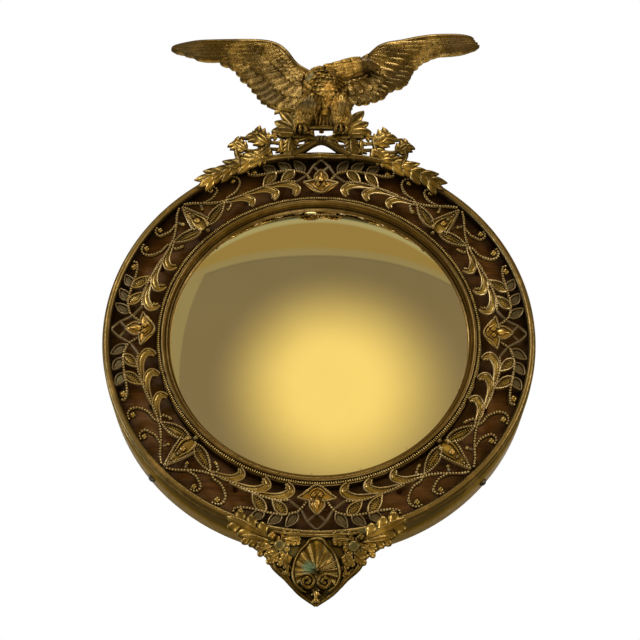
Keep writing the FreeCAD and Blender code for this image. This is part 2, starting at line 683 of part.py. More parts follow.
KNOT_R_SHARE = 1.1
perch_points = [V(-PERCH_HALF, 0, PERCH_Z), V(PERCH_HALF, 0, PERCH_Z)]
crest_whole = mirrored_faces(crest_faces)
crest_whole.append(disc(crest_point(knot_shares), CREST_STEM_WIDTH * KNOT_R_SHARE))
crest_whole.append(ribbon(perch_points, [PERCH_HEIGHT] * 2))
crest_spray = raised(joined(crest_whole), CAST_BACK_Y, CAST_THICK)
LEAF_INSET_SHARE = 0.78
RAISED_LEAVES = 8
raised_leaves = []
for base, tip, width_share in crest_leaf_shares[:RAISED_LEAVES]:
    start = crest_point(base)
    end = crest_point(tip)
    inner_tip = start + (end - start) * LEAF_INSET_SHARE
    inner_leaf = leaf(start, inner_tip, CREST_STEM_WIDTH * width_share * LEAF_INSET_SHARE)
    raised_leaves.append(raised(inner_leaf, CAST_FRONT_Y + OVERRUN, LEAF_RELIEF + OVERRUN))
crest_spray = crest_spray.fuse(raised_leaves + [mirrored(solid) for solid in raised_leaves])
crest_spray = crest_spray.fuse([lug(angle) for angle in crest_screw_angles])
perch_under = V(TRUNK_X, CAST_MID_Y, PERCH_Z - PERCH_HEIGHT / 2)
crest_spray = crest_spray.cut(rod(perch_under, UP, EAGLE_SCREW_R + HOLE_CLEARANCE, PERCH_HEIGHT + OVERRUN))

# Drop: a scalloped plate with a ribbed shell, two rosettes, two volutes and leaves on each side


def drop_point(place):
    """Return a drop point from its shares of the half width and of the hang below the top arc."""
    return V(place[0] * DROP_HALF, 0, -DROP_TOP_R - place[1] * DROP_HANG)


drop_edge_shares = (
    (0.985, -0.241), (0.90, -0.086), (0.80, 0.068), (0.665, 0.206), (0.535, 0.331),
    (0.455, 0.499), (0.31, 0.666), (0.178, 0.845), (0.0, 1.0),
)
DROP_BULGE_SHARE = 0.16
drop_right = [drop_point(place) for place in drop_edge_shares]
drop_left = [V(-point.x, 0, point.z) for point in reversed(drop_right)]
drop_edges = scallops(drop_right + drop_left[1:], DROP_BULGE_SHARE)
drop_edges.append(arc(drop_left[-1], V(0, 0, -DROP_TOP_R), drop_right[0]))
drop_plate = raised(facing_wall(closed_face(drop_edges)), CAST_BACK_Y, CAST_THICK)
egg_shares = (0, 0.465)
rosette_shares = (0.40, 0.185)
curl_boss_shares = (0.10, 0.728)
# Leaves on the drop: base, tip and width, the width as a share of the half width
drop_leaf_shares = (
    ((0.56, 0.123), (0.95, -0.212), 0.16), ((0.36, 0.02), (0.08, 0.06), 0.10),
    ((0.30, 0.34), (0.36, 0.58), 0.12), ((0.56, 0.17), (0.78, 0.02), 0.10),
    ((0.20, 0.64), (0.05, 0.94), 0.10),
)
PETAL_COUNT = 6
PETAL_R_SHARE = 0.45
shell_reach_shares = (1.0, 0.96, 0.84, 0.70)
SHELL_HINGE_SHARE = 0.60
SHELL_STEP_DEGREES = 23.0
SHELL_ROOT_SHARE = 0.4
egg_slice_shares = (
    (-0.96, 0.24, 0.2), (-0.6, 0.72, 0.75), (0.0, 1.0, 1.0), (0.55, 0.9, 0.85), (0.96, 0.3, 0.25),
)
egg_levels = []
for height_share, width_share, rise_share in egg_slice_shares:
    egg_height = drop_point(egg_shares).z + height_share * EGG_HALF_HEIGHT
    egg_levels.append((egg_height, 0, width_share * EGG_HALF_WIDTH, rise_share * EGG_RISE))
egg = half_round_loft(egg_levels, CAST_FRONT_Y)
drop_bosses = [egg]

# Ribs of the shell: cones that fan out from a hinge low on the egg, each with a round end
shell_hinge = drop_point((0, SHELL_HINGE_SHARE)) + V(0, CAST_FRONT_Y - EGG_RISE / 2, 0)
for step in range(1 - len(shell_reach_shares), len(shell_reach_shares)):
    rib_angle = math.radians(step * SHELL_STEP_DEGREES)
    rib_way = V(math.sin(rib_angle), 0, math.cos(rib_angle))
    rib_length = SHELL_REACH * shell_reach_shares[abs(step)] - EGG_RISE
    rib = Part.makeCone(EGG_RISE * SHELL_ROOT_SHARE, EGG_RISE, rib_length, shell_hinge, rib_way)
    drop_bosses.append(rib.fuse(Part.makeSphere(EGG_RISE, shell_hinge + rib_way * rib_length)))
for side in (-1, 1):
    rosette_place = drop_point((side * rosette_shares[0], rosette_shares[1]))
    curl_place = drop_point((side * curl_boss_shares[0], curl_boss_shares[1]))
    petals = [disc(rosette_place, ROSETTE_R * PETAL_R_SHARE)]
    for petal in range(PETAL_COUNT):
        petal_angle = math.radians(petal * FULL_TURN / PETAL_COUNT)
        petal_way = V(math.sin(petal_angle), 0, math.cos(petal_angle))
        petal_place = rosette_place + petal_way * (ROSETTE_R * (1 - PETAL_R_SHARE))
        petals.append(disc(petal_place, ROSETTE_R * PETAL_R_SHARE))
    drop_bosses.append(raised(joined(petals), CAST_FRONT_Y, ROSETTE_RISE))
    drop_bosses.append(raised(disc(rosette_place, ROSETTE_EYE_R), CAST_FRONT_Y, ROSETTE_EYE_RISE))
    drop_bosses.append(raised(disc(curl_place, CURL_BOSS_R), CAST_FRONT_Y, ROSETTE_RISE))
    for base, tip, width_share in drop_leaf_shares:
        leaf_ends = [drop_point((side * place[0], place[1])) for place in (base, tip)]
        drop_leaf = leaf(leaf_ends[0], leaf_ends[1], DROP_HALF * width_share)
        drop_bosses.append(raised(drop_leaf, CAST_FRONT_Y, LEAF_RELIEF))
shell_drop = drop_plate.fuse(drop_bosses + [lug(angle) for angle in drop_screw_angles])

# Eagle: wings in two layers of feathers, and a body with its head turned to the right


FEATHER_BULGE_SHARE = 0.13


def wing(root_x, side, span, top_shares, trail_shares, coverts_shares):
    """Return one wing, a thin plate with scalloped feathers under two raised rows of coverts."""

    def place(point):
        return V(root_x + side * point[0] * span, 0, EAGLE_FOOT_Z + point[1] * EAGLE_RISE)

    top = [place(point) for point in top_shares]
    trail = [place(point) for point in trail_shares]
    bulge_share = side * FEATHER_BULGE_SHARE
    feather_edges = [smooth(top)] + scallops([top[-1]] + trail, bulge_share) + [line(trail[-1], top[0])]
    feathers = raised(facing_wall(closed_face(feather_edges)), CAST_BACK_Y, WING_THICK)
    cover_back_y = CAST_BACK_Y - WING_THICK / 2
    covers = []
    for row, row_shares in enumerate(coverts_shares, 1):
        cover_top = [point - UP * (COVERT_INSET * row) for point in top[: len(top) - 2 * row]]
        coverts = [place(point) for point in row_shares]
        cover_edges = [smooth(cover_top)] + scallops([cover_top[-1]] + coverts, bulge_share)
        cover_edges.append(line(coverts[-1], cover_top[0]))
        cover_thick = WING_THICK / 2 + COVERT_RELIEF * row
        covers.append(raised(facing_wall(closed_face(cover_edges)), cover_back_y, cover_thick))
    return feathers.fuse(covers)


left_top_shares = (
    (0.0, 0.578), (0.037, 0.596), (0.099, 0.676), (0.174, 0.824), (0.248, 0.89), (0.36, 0.912),
    (0.571, 0.904), (0.758, 0.89), (0.882, 0.86), (0.981, 0.816), (1.0, 0.779),
)
left_trail_shares = (
    (0.907, 0.713), (0.839, 0.659), (0.652, 0.654), (0.516, 0.559), (0.484, 0.449),
    (0.404, 0.375), (0.354, 0.265), (0.286, 0.199), (0.16, 0.175), (0.0, 0.191),
)
left_coverts_shares = (
    ((0.74, 0.80), (0.58, 0.74), (0.43, 0.65), (0.33, 0.53), (0.20, 0.41), (0.0, 0.36)),
    ((0.43, 0.79), (0.32, 0.69), (0.23, 0.58), (0.12, 0.49), (0.0, 0.45)),
)
right_top_shares = (
    (0.0, 0.669), (0.05, 0.706), (0.125, 0.721), (0.175, 0.713), (0.225, 0.779), (0.275, 0.853),
    (0.338, 0.897), (0.45, 0.926), (0.575, 0.971), (0.725, 1.0), (0.85, 1.0), (0.95, 0.978), (1.0, 0.912),
)
right_trail_shares = (
    (0.95, 0.815), (0.84, 0.79), (0.73, 0.745), (0.625, 0.684), (0.544, 0.618), (0.50, 0.515),
    (0.438, 0.412), (0.325, 0.338), (0.263, 0.257), (0.14, 0.20), (0.0, 0.206),
)
right_coverts_shares = (
    ((0.70, 0.87), (0.55, 0.80), (0.44, 0.70), (0.36, 0.57), (0.24, 0.44), (0.0, 0.38)),
    ((0.46, 0.84), (0.36, 0.74), (0.28, 0.64), (0.18, 0.54), (0.0, 0.48)),
)
eagle_wing_left = wing(
    -ROOT_LEFT - SEAT_GAP, -1, WING_SPAN_LEFT, left_top_shares, left_trail_shares, left_coverts_shares
)
eagle_wing_right = wing(
    ROOT_RIGHT + SEAT_GAP, 1, WING_SPAN_RIGHT, right_top_shares, right_trail_shares, right_coverts_shares
)

# Trunk slices: shares of the rise above the perch, of the half width and of the trunk's own rise
trunk_slice_shares = (
    (0.06, 0.30, 0.35), (0.16, 0.58, 0.62), (0.30, 0.92, 0.92),
    (0.42, 1.0, 1.0), (0.52, 0.96, 0.94), (0.60, 0.66, 0.72),
)
trunk_levels = []
for height_share, width_share, rise_share in trunk_slice_shares:
    trunk_height = EAGLE_FOOT_Z + height_share * EAGLE_RISE
    trunk_levels.append((trunk_height, TRUNK_X, width_share * TRUNK_HALF_WIDTH, rise_share * TRUNK_RISE))
window_corner = V(-ROOT_LEFT, CAST_BACK_Y - TRUNK_RISE * 2, EAGLE_FOOT_Z)
body_window = Part.makeBox(ROOT_LEFT + ROOT_RIGHT, TRUNK_RISE * 2, EAGLE_RISE, window_corner)
trunk = half_round_loft(trunk_levels, CAST_BACK_Y).common(body_window)

# Neck, head and hooked beak in one run, clear in front of the right wing's shoulder
head_slice_shares = (
    (0.05, 0.45, 1.2), (0.20, 0.52, 1.2), (0.41, 0.565, 1.1), (0.61, 0.577, 1.0),
    (0.79, 0.567, 0.74), (0.91, 0.532, 0.42), (1.0, 0.475, 0.12),
)
wing_front_y = CAST_BACK_Y - WING_THICK - COVERT_RELIEF * len(left_coverts_shares)
head_y = wing_front_y - HEAD_BACK_GAP - HEAD_R * head_slice_shares[0][2]
head_stations = []
for reach_share, height_share, r_share in head_slice_shares:
    station = V(TRUNK_X + reach_share * HEAD_REACH, head_y, EAGLE_FOOT_Z + height_share * EAGLE_RISE)
    head_stations.append((station, r_share * HEAD_R))
body_pieces = [round_loft(head_stations)]

# Feathered thighs narrow to the legs, which stand on the perch
thigh_side_shares = (-0.52, 0.52)
thigh_slice_shares = (
    (0.0, 0.0, 0.48), (0.08, 0.25, 0.62), (0.17, 0.85, 0.95), (0.25, 1.0, 1.0), (0.33, 0.9, 0.62),
)
for side_share in thigh_side_shares:
    thigh_stations = []
    for height_share, front_share, r_share in thigh_slice_shares:
        thigh_y = CAST_BACK_Y - LEG_R - front_share * (TRUNK_RISE - LEG_R - THIGH_R)
        thigh_height = EAGLE_FOOT_Z + height_share * EAGLE_RISE
        station = V(TRUNK_X + side_share * TRUNK_HALF_WIDTH, thigh_y, thigh_height)
        thigh_stations.append((station, r_share * THIGH_R))
    body_pieces.append(round_loft(thigh_stations).common(body_window))
TAIL_TOP_SHARE = 0.36
TAIL_NARROW_SHARE = 0.8
tail_top_z = EAGLE_FOOT_Z + TAIL_TOP_SHARE * EAGLE_RISE
tail_corners = [
    V(TRUNK_X - TAIL_HALF_WIDTH, 0, EAGLE_FOOT_Z),
    V(TRUNK_X + TAIL_HALF_WIDTH, 0, EAGLE_FOOT_Z),
    V(TRUNK_X + TAIL_HALF_WIDTH * TAIL_NARROW_SHARE, 0, tail_top_z),
    V(TRUNK_X - TAIL_HALF_WIDTH * TAIL_NARROW_SHARE, 0, tail_top_z),
]
tail_edges = [line(a, b) for a, b in zip(tail_corners, tail_corners[1:] + tail_corners[:1])]
body_pieces.append(raised(facing_wall(closed_face(tail_edges)), CAST_BACK_Y, TAIL_THICK))
eagle_body = trunk.fuse(body_pieces)
eagle_body = eagle_body.cut(
    rod(V(TRUNK_X, CAST_MID_Y, EAGLE_FOOT_Z), UP, EAGLE_SCREW_R + HOLE_CLEARANCE, EAGLE_SCREW_LENGTH)
)
eagle_screw_seat = perch_under - UP * SEAT_GAP
eagle_screw = rod(eagle_screw_seat, UP, EAGLE_SCREW_R, EAGLE_SCREW_LENGTH + PERCH_HEIGHT - OVERRUN)
eagle_screw = eagle_screw.fuse(rod(eagle_screw_seat, -UP, EAGLE_SCREW_HEAD_R, EAGLE_SCREW_HEAD_RISE))

# Screws
lug_seat_r = RIM_R + SEAT_GAP + LUG_THICK
rim_screws = Part.makeCompound([radial_screw(angle, RIM_R) for angle in rim_screw_angles])
crest_screws = Part.makeCompound([radial_screw(angle, lug_seat_r) for angle in crest_screw_angles])
drop_screws = Part.makeCompound([radial_screw(angle, lug_seat_r) for angle in drop_screw_angles])

# Hanger: a plate with two ears on the back of the board, a pin and a swinging ring
plate_face_y = BOARD_BACK_Y + HANGER_THICK
pin_y = -HANGER_PIN_BACK
ear_in_x = HANGER_BARREL_LENGTH / 2 + HANGER_SIDE_GAP
plate_corner = V(-HANGER_WIDTH / 2, BOARD_BACK_Y, HANGER_Z - HANGER_HEIGHT / 2)
hanger_plate = Part.makeBox(HANGER_WIDTH, HANGER_THICK, HANGER_HEIGHT, plate_corner)
hanger_cuts = []
for side in (-1, 1):
    ear_start = V(side * ear_in_x, pin_y, HANGER_Z)
    ear = rod(ear_start, RIGHT * side, HANGER_EAR_R, HANGER_EAR_THICK)
    web_x = ear_in_x if side > 0 else -ear_in_x - HANGER_EAR_THICK
    web_corner = V(web_x, BOARD_BACK_Y, HANGER_Z - HANGER_EAR_R)
    web = Part.makeBox(HANGER_EAR_THICK, pin_y - BOARD_BACK_Y, HANGER_EAR_R * 2, web_corner)
    hanger_plate = hanger_plate.fuse([ear, web])
    screw_place = V(side * HANGER_SCREW_SPACING / 2, BOARD_BACK_Y, HANGER_Z)
    hanger_cuts.append(rod(screw_place, INTO_WALL, HANGER_SCREW_R + HOLE_CLEARANCE, HANGER_THICK))
pin_half = ear_in_x + HANGER_EAR_THICK
hanger_cuts.append(rod(V(-pin_half, pin_y, HANGER_Z), RIGHT, HANGER_PIN_R + HANGER_FIT, pin_half * 2))
hanger_plate = hanger_plate.cut(hanger_cuts)
hanger_pin = rod(V(-pin_half - SEAT_GAP, pin_y, HANGER_Z), RIGHT, HANGER_PIN_R, (pin_half + SEAT_GAP) * 2)
for side in (-1, 1):
    head_start = V(side * (pin_half + SEAT_GAP), pin_y, HANGER_Z)
    hanger_pin = hanger_pin.fuse(rod(head_start, RIGHT * side, HANGER_EAR_R, HANGER_HEAD_THICK))
eye_mid_z = HANGER_Z - HANGER_BARREL_R - EYE_R - EYE_WIRE_R * EYE_NECK_SHARE
barrel = rod(V(-HANGER_BARREL_LENGTH / 2, pin_y, HANGER_Z), RIGHT, HANGER_BARREL_R, HANGER_BARREL_LENGTH)
eye_out_r = EYE_R + EYE_WIRE_R * 2
eye = rod(V(0, pin_y - EYE_WIRE_R, eye_mid_z), INTO_WALL, eye_out_r, EYE_WIRE_R * 2)
eye = eye.makeFillet(EYE_WIRE_R * EYE_ROUND_SHARE, eye.Edges)
eye = eye.cut(rod(V(0, pin_y - EYE_WIRE_R, eye_mid_z), INTO_WALL, EYE_R, EYE_WIRE_R * 2))
neck_bar = rod(V(0, pin_y, HANGER_Z), -UP, EYE_WIRE_R, HANGER_Z - eye_mid_z - EYE_R - EYE_WIRE_R / 2)
hanger_ring = barrel.fuse([eye, neck_bar])
bore_start = V(-HANGER_BARREL_LENGTH, pin_y, HANGER_Z)
hanger_ring = hanger_ring.cut(rod(bore_start, RIGHT, HANGER_PIN_R + HANGER_FIT, HANGER_BARREL_LENGTH * 2))

hanger_ball_r = (HANGER_SCREW_HEAD_R ** 2 + HANGER_SCREW_HEAD_RISE ** 2) / (2 * HANGER_SCREW_HEAD_RISE)
hanger_screw_solids = []
for side in (-1, 1):
    seat = V(side * HANGER_SCREW_SPACING / 2, plate_face_y, HANGER_Z)
    dome = Part.makeSphere(hanger_ball_r, seat + INTO_WALL * (HANGER_SCREW_HEAD_RISE - hanger_ball_r))
    head = dome.common(rod(seat, INTO_WALL, HANGER_SCREW_HEAD_R, HANGER_SCREW_HEAD_RISE + OVERRUN))
    shank_length = HANGER_THICK + HANGER_SCREW_LENGTH - OVERRUN
    hanger_screw_solids.append(head.fuse(rod(seat, -INTO_WALL, HANGER_SCREW_R, shank_length)))
hanger_screws = Part.makeCompound(hanger_screw_solids)

nodes = {
    "backboard": backboard,
    "rim_band": rim_band,
    "rim_screws": rim_screws,
    "mirror_pad": mirror_pad,
    "mirror_glass": mirror_glass,
    "sight_bezel": sight_bezel,
    "bead_ring": bead_ring,
    **scroll_quarters,
    "scroll_pins": scroll_pins,
    **flowers,
    "crest_spray": crest_spray,
    "crest_screws": crest_screws,
    "eagle_body": eagle_body,
    "eagle_wing_left": eagle_wing_left,
    "eagle_wing_right": eagle_wing_right,
    "eagle_screw": eagle_screw,
    "shell_drop": shell_drop,
    "drop_screws": drop_screws,
    "hanger_plate": hanger_plate,
    "hanger_pin": hanger_pin,
    "hanger_ring": hanger_ring,
    "hanger_screws": hanger_screws,
}
os.makedirs("parts", exist_ok=True)
for name, shape in nodes.items():
    shape.exportStep("parts/" + name + ".step")
    print(name, len(shape.Solids), round(shape.Volume, 1), shape.isValid())
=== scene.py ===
import math
import bpy
import numpy as np
from mathutils import Matrix, Vector
from mathutils.geometry import tessellate_polygon


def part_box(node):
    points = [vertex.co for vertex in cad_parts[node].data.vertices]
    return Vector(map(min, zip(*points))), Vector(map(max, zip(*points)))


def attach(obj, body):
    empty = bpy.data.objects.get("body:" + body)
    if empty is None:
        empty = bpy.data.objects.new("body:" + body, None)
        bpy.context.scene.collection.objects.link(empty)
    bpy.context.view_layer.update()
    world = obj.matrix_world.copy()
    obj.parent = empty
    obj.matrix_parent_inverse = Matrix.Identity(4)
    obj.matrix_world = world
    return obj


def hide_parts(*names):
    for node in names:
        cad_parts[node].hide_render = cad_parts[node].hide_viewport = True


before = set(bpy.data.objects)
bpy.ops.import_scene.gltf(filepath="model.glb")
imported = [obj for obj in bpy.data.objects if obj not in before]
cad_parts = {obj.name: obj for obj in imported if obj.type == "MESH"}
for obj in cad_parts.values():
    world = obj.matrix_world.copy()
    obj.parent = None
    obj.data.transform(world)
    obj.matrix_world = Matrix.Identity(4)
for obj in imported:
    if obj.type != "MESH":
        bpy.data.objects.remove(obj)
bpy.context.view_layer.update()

# Backboard: a turned disc of stained softwood that every other piece is fixed to. Its front
# shows as a brown satin floor behind the pierced ring, and its back shows the bare grain.


class Shade:
    """A shader socket. Sums on it add Math nodes, and any other node comes from node()."""

    def __init__(self, tree, socket=None):
        self.tree = tree
        self.socket = socket

    def node(self, kind, settings=None, sockets=None, output=0):
        """Add a node with its settings and inputs, and return one of its outputs."""
        made = self.tree.nodes.new("ShaderNode" + kind)
        for name, value in (settings or {}).items():
            setattr(made, name, value)
        for name, value in (sockets or {}).items():
            if isinstance(value, Shade):
                self.tree.links.new(value.socket, made.inputs[name])
            else:
                made.inputs[name].default_value = value
        return Shade(self.tree, made.outputs[output] if len(made.outputs) else None)

    def sibling(self, output):
        """Return another output of the same node."""
        return Shade(self.tree, self.socket.node.outputs[output])

    def maths(self, operation, first, second):
        """Add a Math node on two values."""
        return self.node("Math", {"operation": operation}, {0: first, 1: second})

    def __add__(self, other):
        return self.maths("ADD", self, other)

    def __radd__(self, other):
        return self.maths("ADD", other, self)

    def __sub__(self, other):
        return self.maths("SUBTRACT", self, other)

    def __rsub__(self, other):
        return self.maths("SUBTRACT", other, self)

    def __mul__(self, other):
        return self.maths("MULTIPLY", self, other)

    def __pow__(self, other):
        return self.maths("POWER", self, other)

    def tint(self, first, second):
        """Mix two colours, with this value as the share of the second."""
        sockets = {0: self}
        for name, colour in ((6, first), (7, second)):
            sockets[name] = colour if isinstance(colour, Shade) else (*colour, 1)
        return self.node("Mix", {"data_type": "RGBA"}, sockets, 2)

    def step(self, low, high):
        """Rise smoothly from 0 at low to 1 at high."""
        limits = {"Value": self, "From Min": low, "From Max": high}
        return self.node("MapRange", {"interpolation_type": "SMOOTHSTEP"}, limits)

    def noise(self, scale, detail, **more):
        """Return a noise at this place."""
        return self.node("TexNoise", None, {"Vector": self, "Scale": scale, "Detail": detail, **more})

    def bump(self, strength, distance):
        """Return the normals of a surface with this height."""
        return self.node("Bump", None, {"Strength": strength, "Distance": distance, "Height": self})


def new_finish(name):
    """Return an empty material and the object coordinates that its other nodes start from."""
    material = bpy.data.materials.new(name)
    material.use_nodes = True
    material.node_tree.nodes.clear()
    return material, Shade(material.node_tree).node("TexCoord", None, None, "Object")


def coat(place, sockets):
    """Finish a material with one Principled surface."""
    surface = place.node("BsdfPrincipled", None, sockets)
    place.node("OutputMaterial", None, {"Surface": surface})


def dress(node, material):
    """Give a kept solid its finish."""
    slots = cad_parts[node].data.materials
    slots.clear()
    slots.append(material)


def stained_wood():
    """Return the board's finish: stain over open grain, darker where little light gets in."""
    material, place = new_finish("stained_wood")
    stretched = place.node("Mapping", None, {"Vector": place, "Scale": (22.0, 160.0, 160.0)})
    grain = stretched.noise(3.2, 6.0, Distortion=0.8)
    pores = stretched.noise(17.0, 3.0)
    cloud = place.noise(28.0, 3.0)
    open_sky = place.node("AmbientOcclusion", {"samples": 8}, {"Distance": 0.011}, "AO")
    stain = grain.step(0.3, 0.7).tint((0.085, 0.031, 0.006), (0.180, 0.076, 0.016))
    worn = (cloud.step(0.42, 0.75) * 0.5).tint(stain, (0.205, 0.108, 0.030))
    pored = (pores.step(0.58, 0.72) * 0.55).tint(worn, (0.025, 0.010, 0.003))
    # Painted shade: the colour falls to near black where the occlusion finds the board hemmed in, by the rim
    # and under the scrolls.
    dark = open_sky.step(0.25, 0.85).tint((0.016, 0.007, 0.002), pored)
    relief = (grain + pores * 0.6).bump(0.25, 0.0002)
    coat(place, {
        "Base Color": dark,
        "Roughness": 0.62 - grain * 0.18,
        "Normal": relief,
        "Specular IOR Level": 0.22,
    })
    return material


wood = stained_wood()
dress("backboard", wood)

# Rim band: a brass hoop, rolled and brazed, that stands on the wall round the board. A narrow
# neck carries the rolled bead at its front edge, and four screws hold the hoop to the board.

MM = 0.001
FRONT = np.array((0.0, -1.0, 0.0))
RIM_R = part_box("rim_band")[1][0] / MM
RIM_WALL = 1.2
RIM_DEPTH = 24.2
BEAD_R = 2.0
BEAD_INSET = 2.2
BEAD_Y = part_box("rim_band")[0][1] / MM + BEAD_R
NECK_DROP = 0.9
EDGE_ROUND = 0.3
RIM_STEPS = 240


class Casting:
    """Closed shells of one piece, gathered in millimetres, with a barb value at each point."""

    def __init__(self):
        self.points = []
        self.barbs = []
        self.faces = []

    def add(self, points, faces, barbs=None):
        start = len(self.points)
        self.points.extend(tuple(point) for point in points)
        self.barbs.extend(barbs if barbs is not None else [0.0] * len(points))
        self.faces.extend(tuple(index + start for index in face) for face in faces)

    def turned(self, degrees):
        """Return a copy turned clockwise, as seen from the front, round the ring's axis."""
        angle = math.radians(degrees)
        copy = Casting()
        points = np.array(self.points)
        x = points[:, 0] * math.cos(angle) + points[:, 2] * math.sin(angle)
        z = points[:, 2] * math.cos(angle) - points[:, 0] * math.sin(angle)
        copy.add(np.stack([x, points[:, 1], z], axis=1), self.faces, self.barbs)
        return copy

    def piece(self, name, material, slot, nodes, crease=50.0):
        """Make the object, ride it on the mirror and let it stand for the solids."""
        mesh = bpy.data.meshes.new(name)
        mesh.from_pydata([tuple(value * MM for value in point) for point in self.points], [], self.faces)
        mesh.attributes.new("barb", "FLOAT", "POINT").data.foreach_set("value", self.barbs)
        mesh.polygons.foreach_set("use_smooth", [True] * len(mesh.polygons))
        mesh.set_sharp_from_angle(angle=math.radians(crease))
        mesh.materials.append(material)
        made = bpy.data.objects.new(name, mesh)
        bpy.context.scene.collection.objects.link(made)
        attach(made, "mirror")
        if nodes:
            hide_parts(*nodes)
        return made


def grid_faces(rows, columns, ring=False):
    """Return the quads of a grid whose rows may close on themselves."""
    faces = []
    for row in range(rows - 1):
        for column in range(columns if ring else columns - 1):
            after = (column + 1) % columns
            first = row * columns
            faces.append((first + column, first + after, first + columns + after, first + columns + column))
    return faces


def turn(casting, outline, steps):
    """Turn a closed outline of (radius, depth) points once round the ring's axis."""
    points = []
    for step in range(steps):
        angle = 2 * math.pi * step / steps
        points += [(r * math.sin(angle), y, r * math.cos(angle)) for r, y in outline]
    count = len(outline)
    faces = []
    for step in range(steps):
        first = step * count
        second = (step + 1) % steps * count
        for index in range(count):
            after = (index + 1) % count
            faces.append((first + index, second + index, second + after, first + after))
    casting.add(points, faces)


def arc_outline(centre, radius, start, end, steps):
    """Return points of an arc in (radius, depth), with angles in degrees from the outward way."""
    angles = np.radians(np.linspace(start, end, steps))
    return [(centre[0] + radius * math.cos(a), centre[1] - radius * math.sin(a)) for a in angles]


def aged_brass(name, dark, mid, gold, green=0.0, rough=0.34, crevice=2.2, wear=0.5, patches=(), metal=0.96):
    """Return cast brass: gold where it is rubbed, olive brown to dark in hollows, partly patina and partly
    painted shade, with some verdigris.

    Green is the share of verdigris, crevice how far a hollow darkens its sides with patina and painted shade,
    and wear how much is rubbed. Each patch is a spot of its own colour round a place, with a radius and a
    strength, and dulls the metal like the crust.
    """
    material, place = new_finish(name)
    open_sky = place.node("AmbientOcclusion", {"samples": 6}, {"Distance": crevice * MM}, "AO")
    edge = place.node("NewGeometry", None, None, "Pointiness")
    cloud = place.noise(70.0, 5.0, Roughness=0.62)
    speck = place.noise(420.0, 4.0, Roughness=0.7)
    barb = place.node("Attribute", {"attribute_name": "barb"}, None, "Fac")
    line = place.node("Math", {"operation": "SINE"}, {0: barb * 7.2})
    # Patina and painted shade: where the occlusion finds little open sky the colour falls from mid to dark,
    # and the hollows are not rubbed.
    lift = open_sky.step(0.35, 0.95)
    polish = edge.step(0.47, 0.60) * 0.75 + cloud.step(0.40, 0.66) * 0.55
    rubbed = (polish + speck * 0.25 + line * 0.12 - 0.35) * lift
    body = lift.tint(dark, mid)
    bright = (rubbed.step(0.0, 1.0 - wear * 0.4) * wear * 1.6).tint(body, gold)
    stain = (speck.step(0.50, 0.70) * (1.0 - lift * 0.6) * 0.6).tint(bright, dark)
    crust_and_patches = cloud.step(0.55, 0.68) * (1.0 - lift * 0.75) * green
    colour = crust_and_patches.tint(stain, (0.085, 0.145, 0.105))
    for centre, radius, strength, patch_colour in patches:
        spot = tuple(value * MM for value in centre)
        away = place.node("VectorMath", {"operation": "DISTANCE"}, {0: place, 1: spot}, "Value")
        grown = away + cloud * radius * MM * 0.8
        patch = (1.0 - grown.step(radius * MM * 0.7, radius * MM * 1.5)) * strength
        colour = patch.tint(colour, patch_colour)
        crust_and_patches = crust_and_patches + patch * (1.0 - crust_and_patches)
    relief = (speck * 0.45 + line * 0.8 + cloud * 0.5).bump(0.6, 0.00015)
    coat(place, {
        "Base Color": colour,
        "Metallic": metal - crust_and_patches * metal * 0.83,
        "Roughness": rough + (1.0 - lift) * 0.22 + speck.step(0.45, 0.75) * 0.16,
        "Normal": relief,
        "Specular Tint": (0.55, 0.42, 0.24, 1),
    })
    return material


rim_brass = aged_brass(
    "rim_brass", (0.045, 0.034, 0.014), (0.155, 0.110, 0.043), (0.52, 0.33, 0.11),
    green=0.3, rough=0.33, crevice=4.0, wear=0.5,
)
rim = Casting()
bead_centre = (RIM_R - BEAD_INSET, BEAD_Y)
neck_out = RIM_R - NECK_DROP
neck_in = neck_out - RIM_WALL
rim_outline = [
    (RIM_R - RIM_WALL, 0.0),
    (RIM_R - EDGE_ROUND, 0.0),
    (RIM_R, -EDGE_ROUND),
    (RIM_R, -RIM_DEPTH / 2),
    (RIM_R, -RIM_DEPTH + EDGE_ROUND),
    (RIM_R - EDGE_ROUND, -RIM_DEPTH),
    (neck_out, -RIM_DEPTH - NECK_DROP / 2),
]
rim_outline += arc_outline(bead_centre, BEAD_R, -40.0, 245.0, 22)
rim_outline += [(neck_in, -RIM_DEPTH - NECK_DROP), (RIM_R - RIM_WALL, -RIM_DEPTH)]
turn(rim, rim_outline, RIM_STEPS)
rim.piece("rim_hoop", rim_brass, "aged_brass", ["rim_band"])

# Rim screws: round-headed slotted steel screws, blackened with age, through the hoop into the
# board's edge. Screws of the same kind hold the crest and the drop, through lugs on the hoop.

SCREW_HEAD_R = 2.3
SCREW_HEAD_RISE = 1.7
SCREW_SLOT = 0.28
SCREW_SLOT_DEPTH = 0.7
SCREW_COLUMNS = 11
SHANK = 0.6
SHANK_SHARE = 0.6
SHANK_STEPS = 20
SCREW_Y = -8.5
SEAT_GAP = 0.05
RIM_SCREW_DEGREES = (48.0, -48.0, 132.0, -132.0)


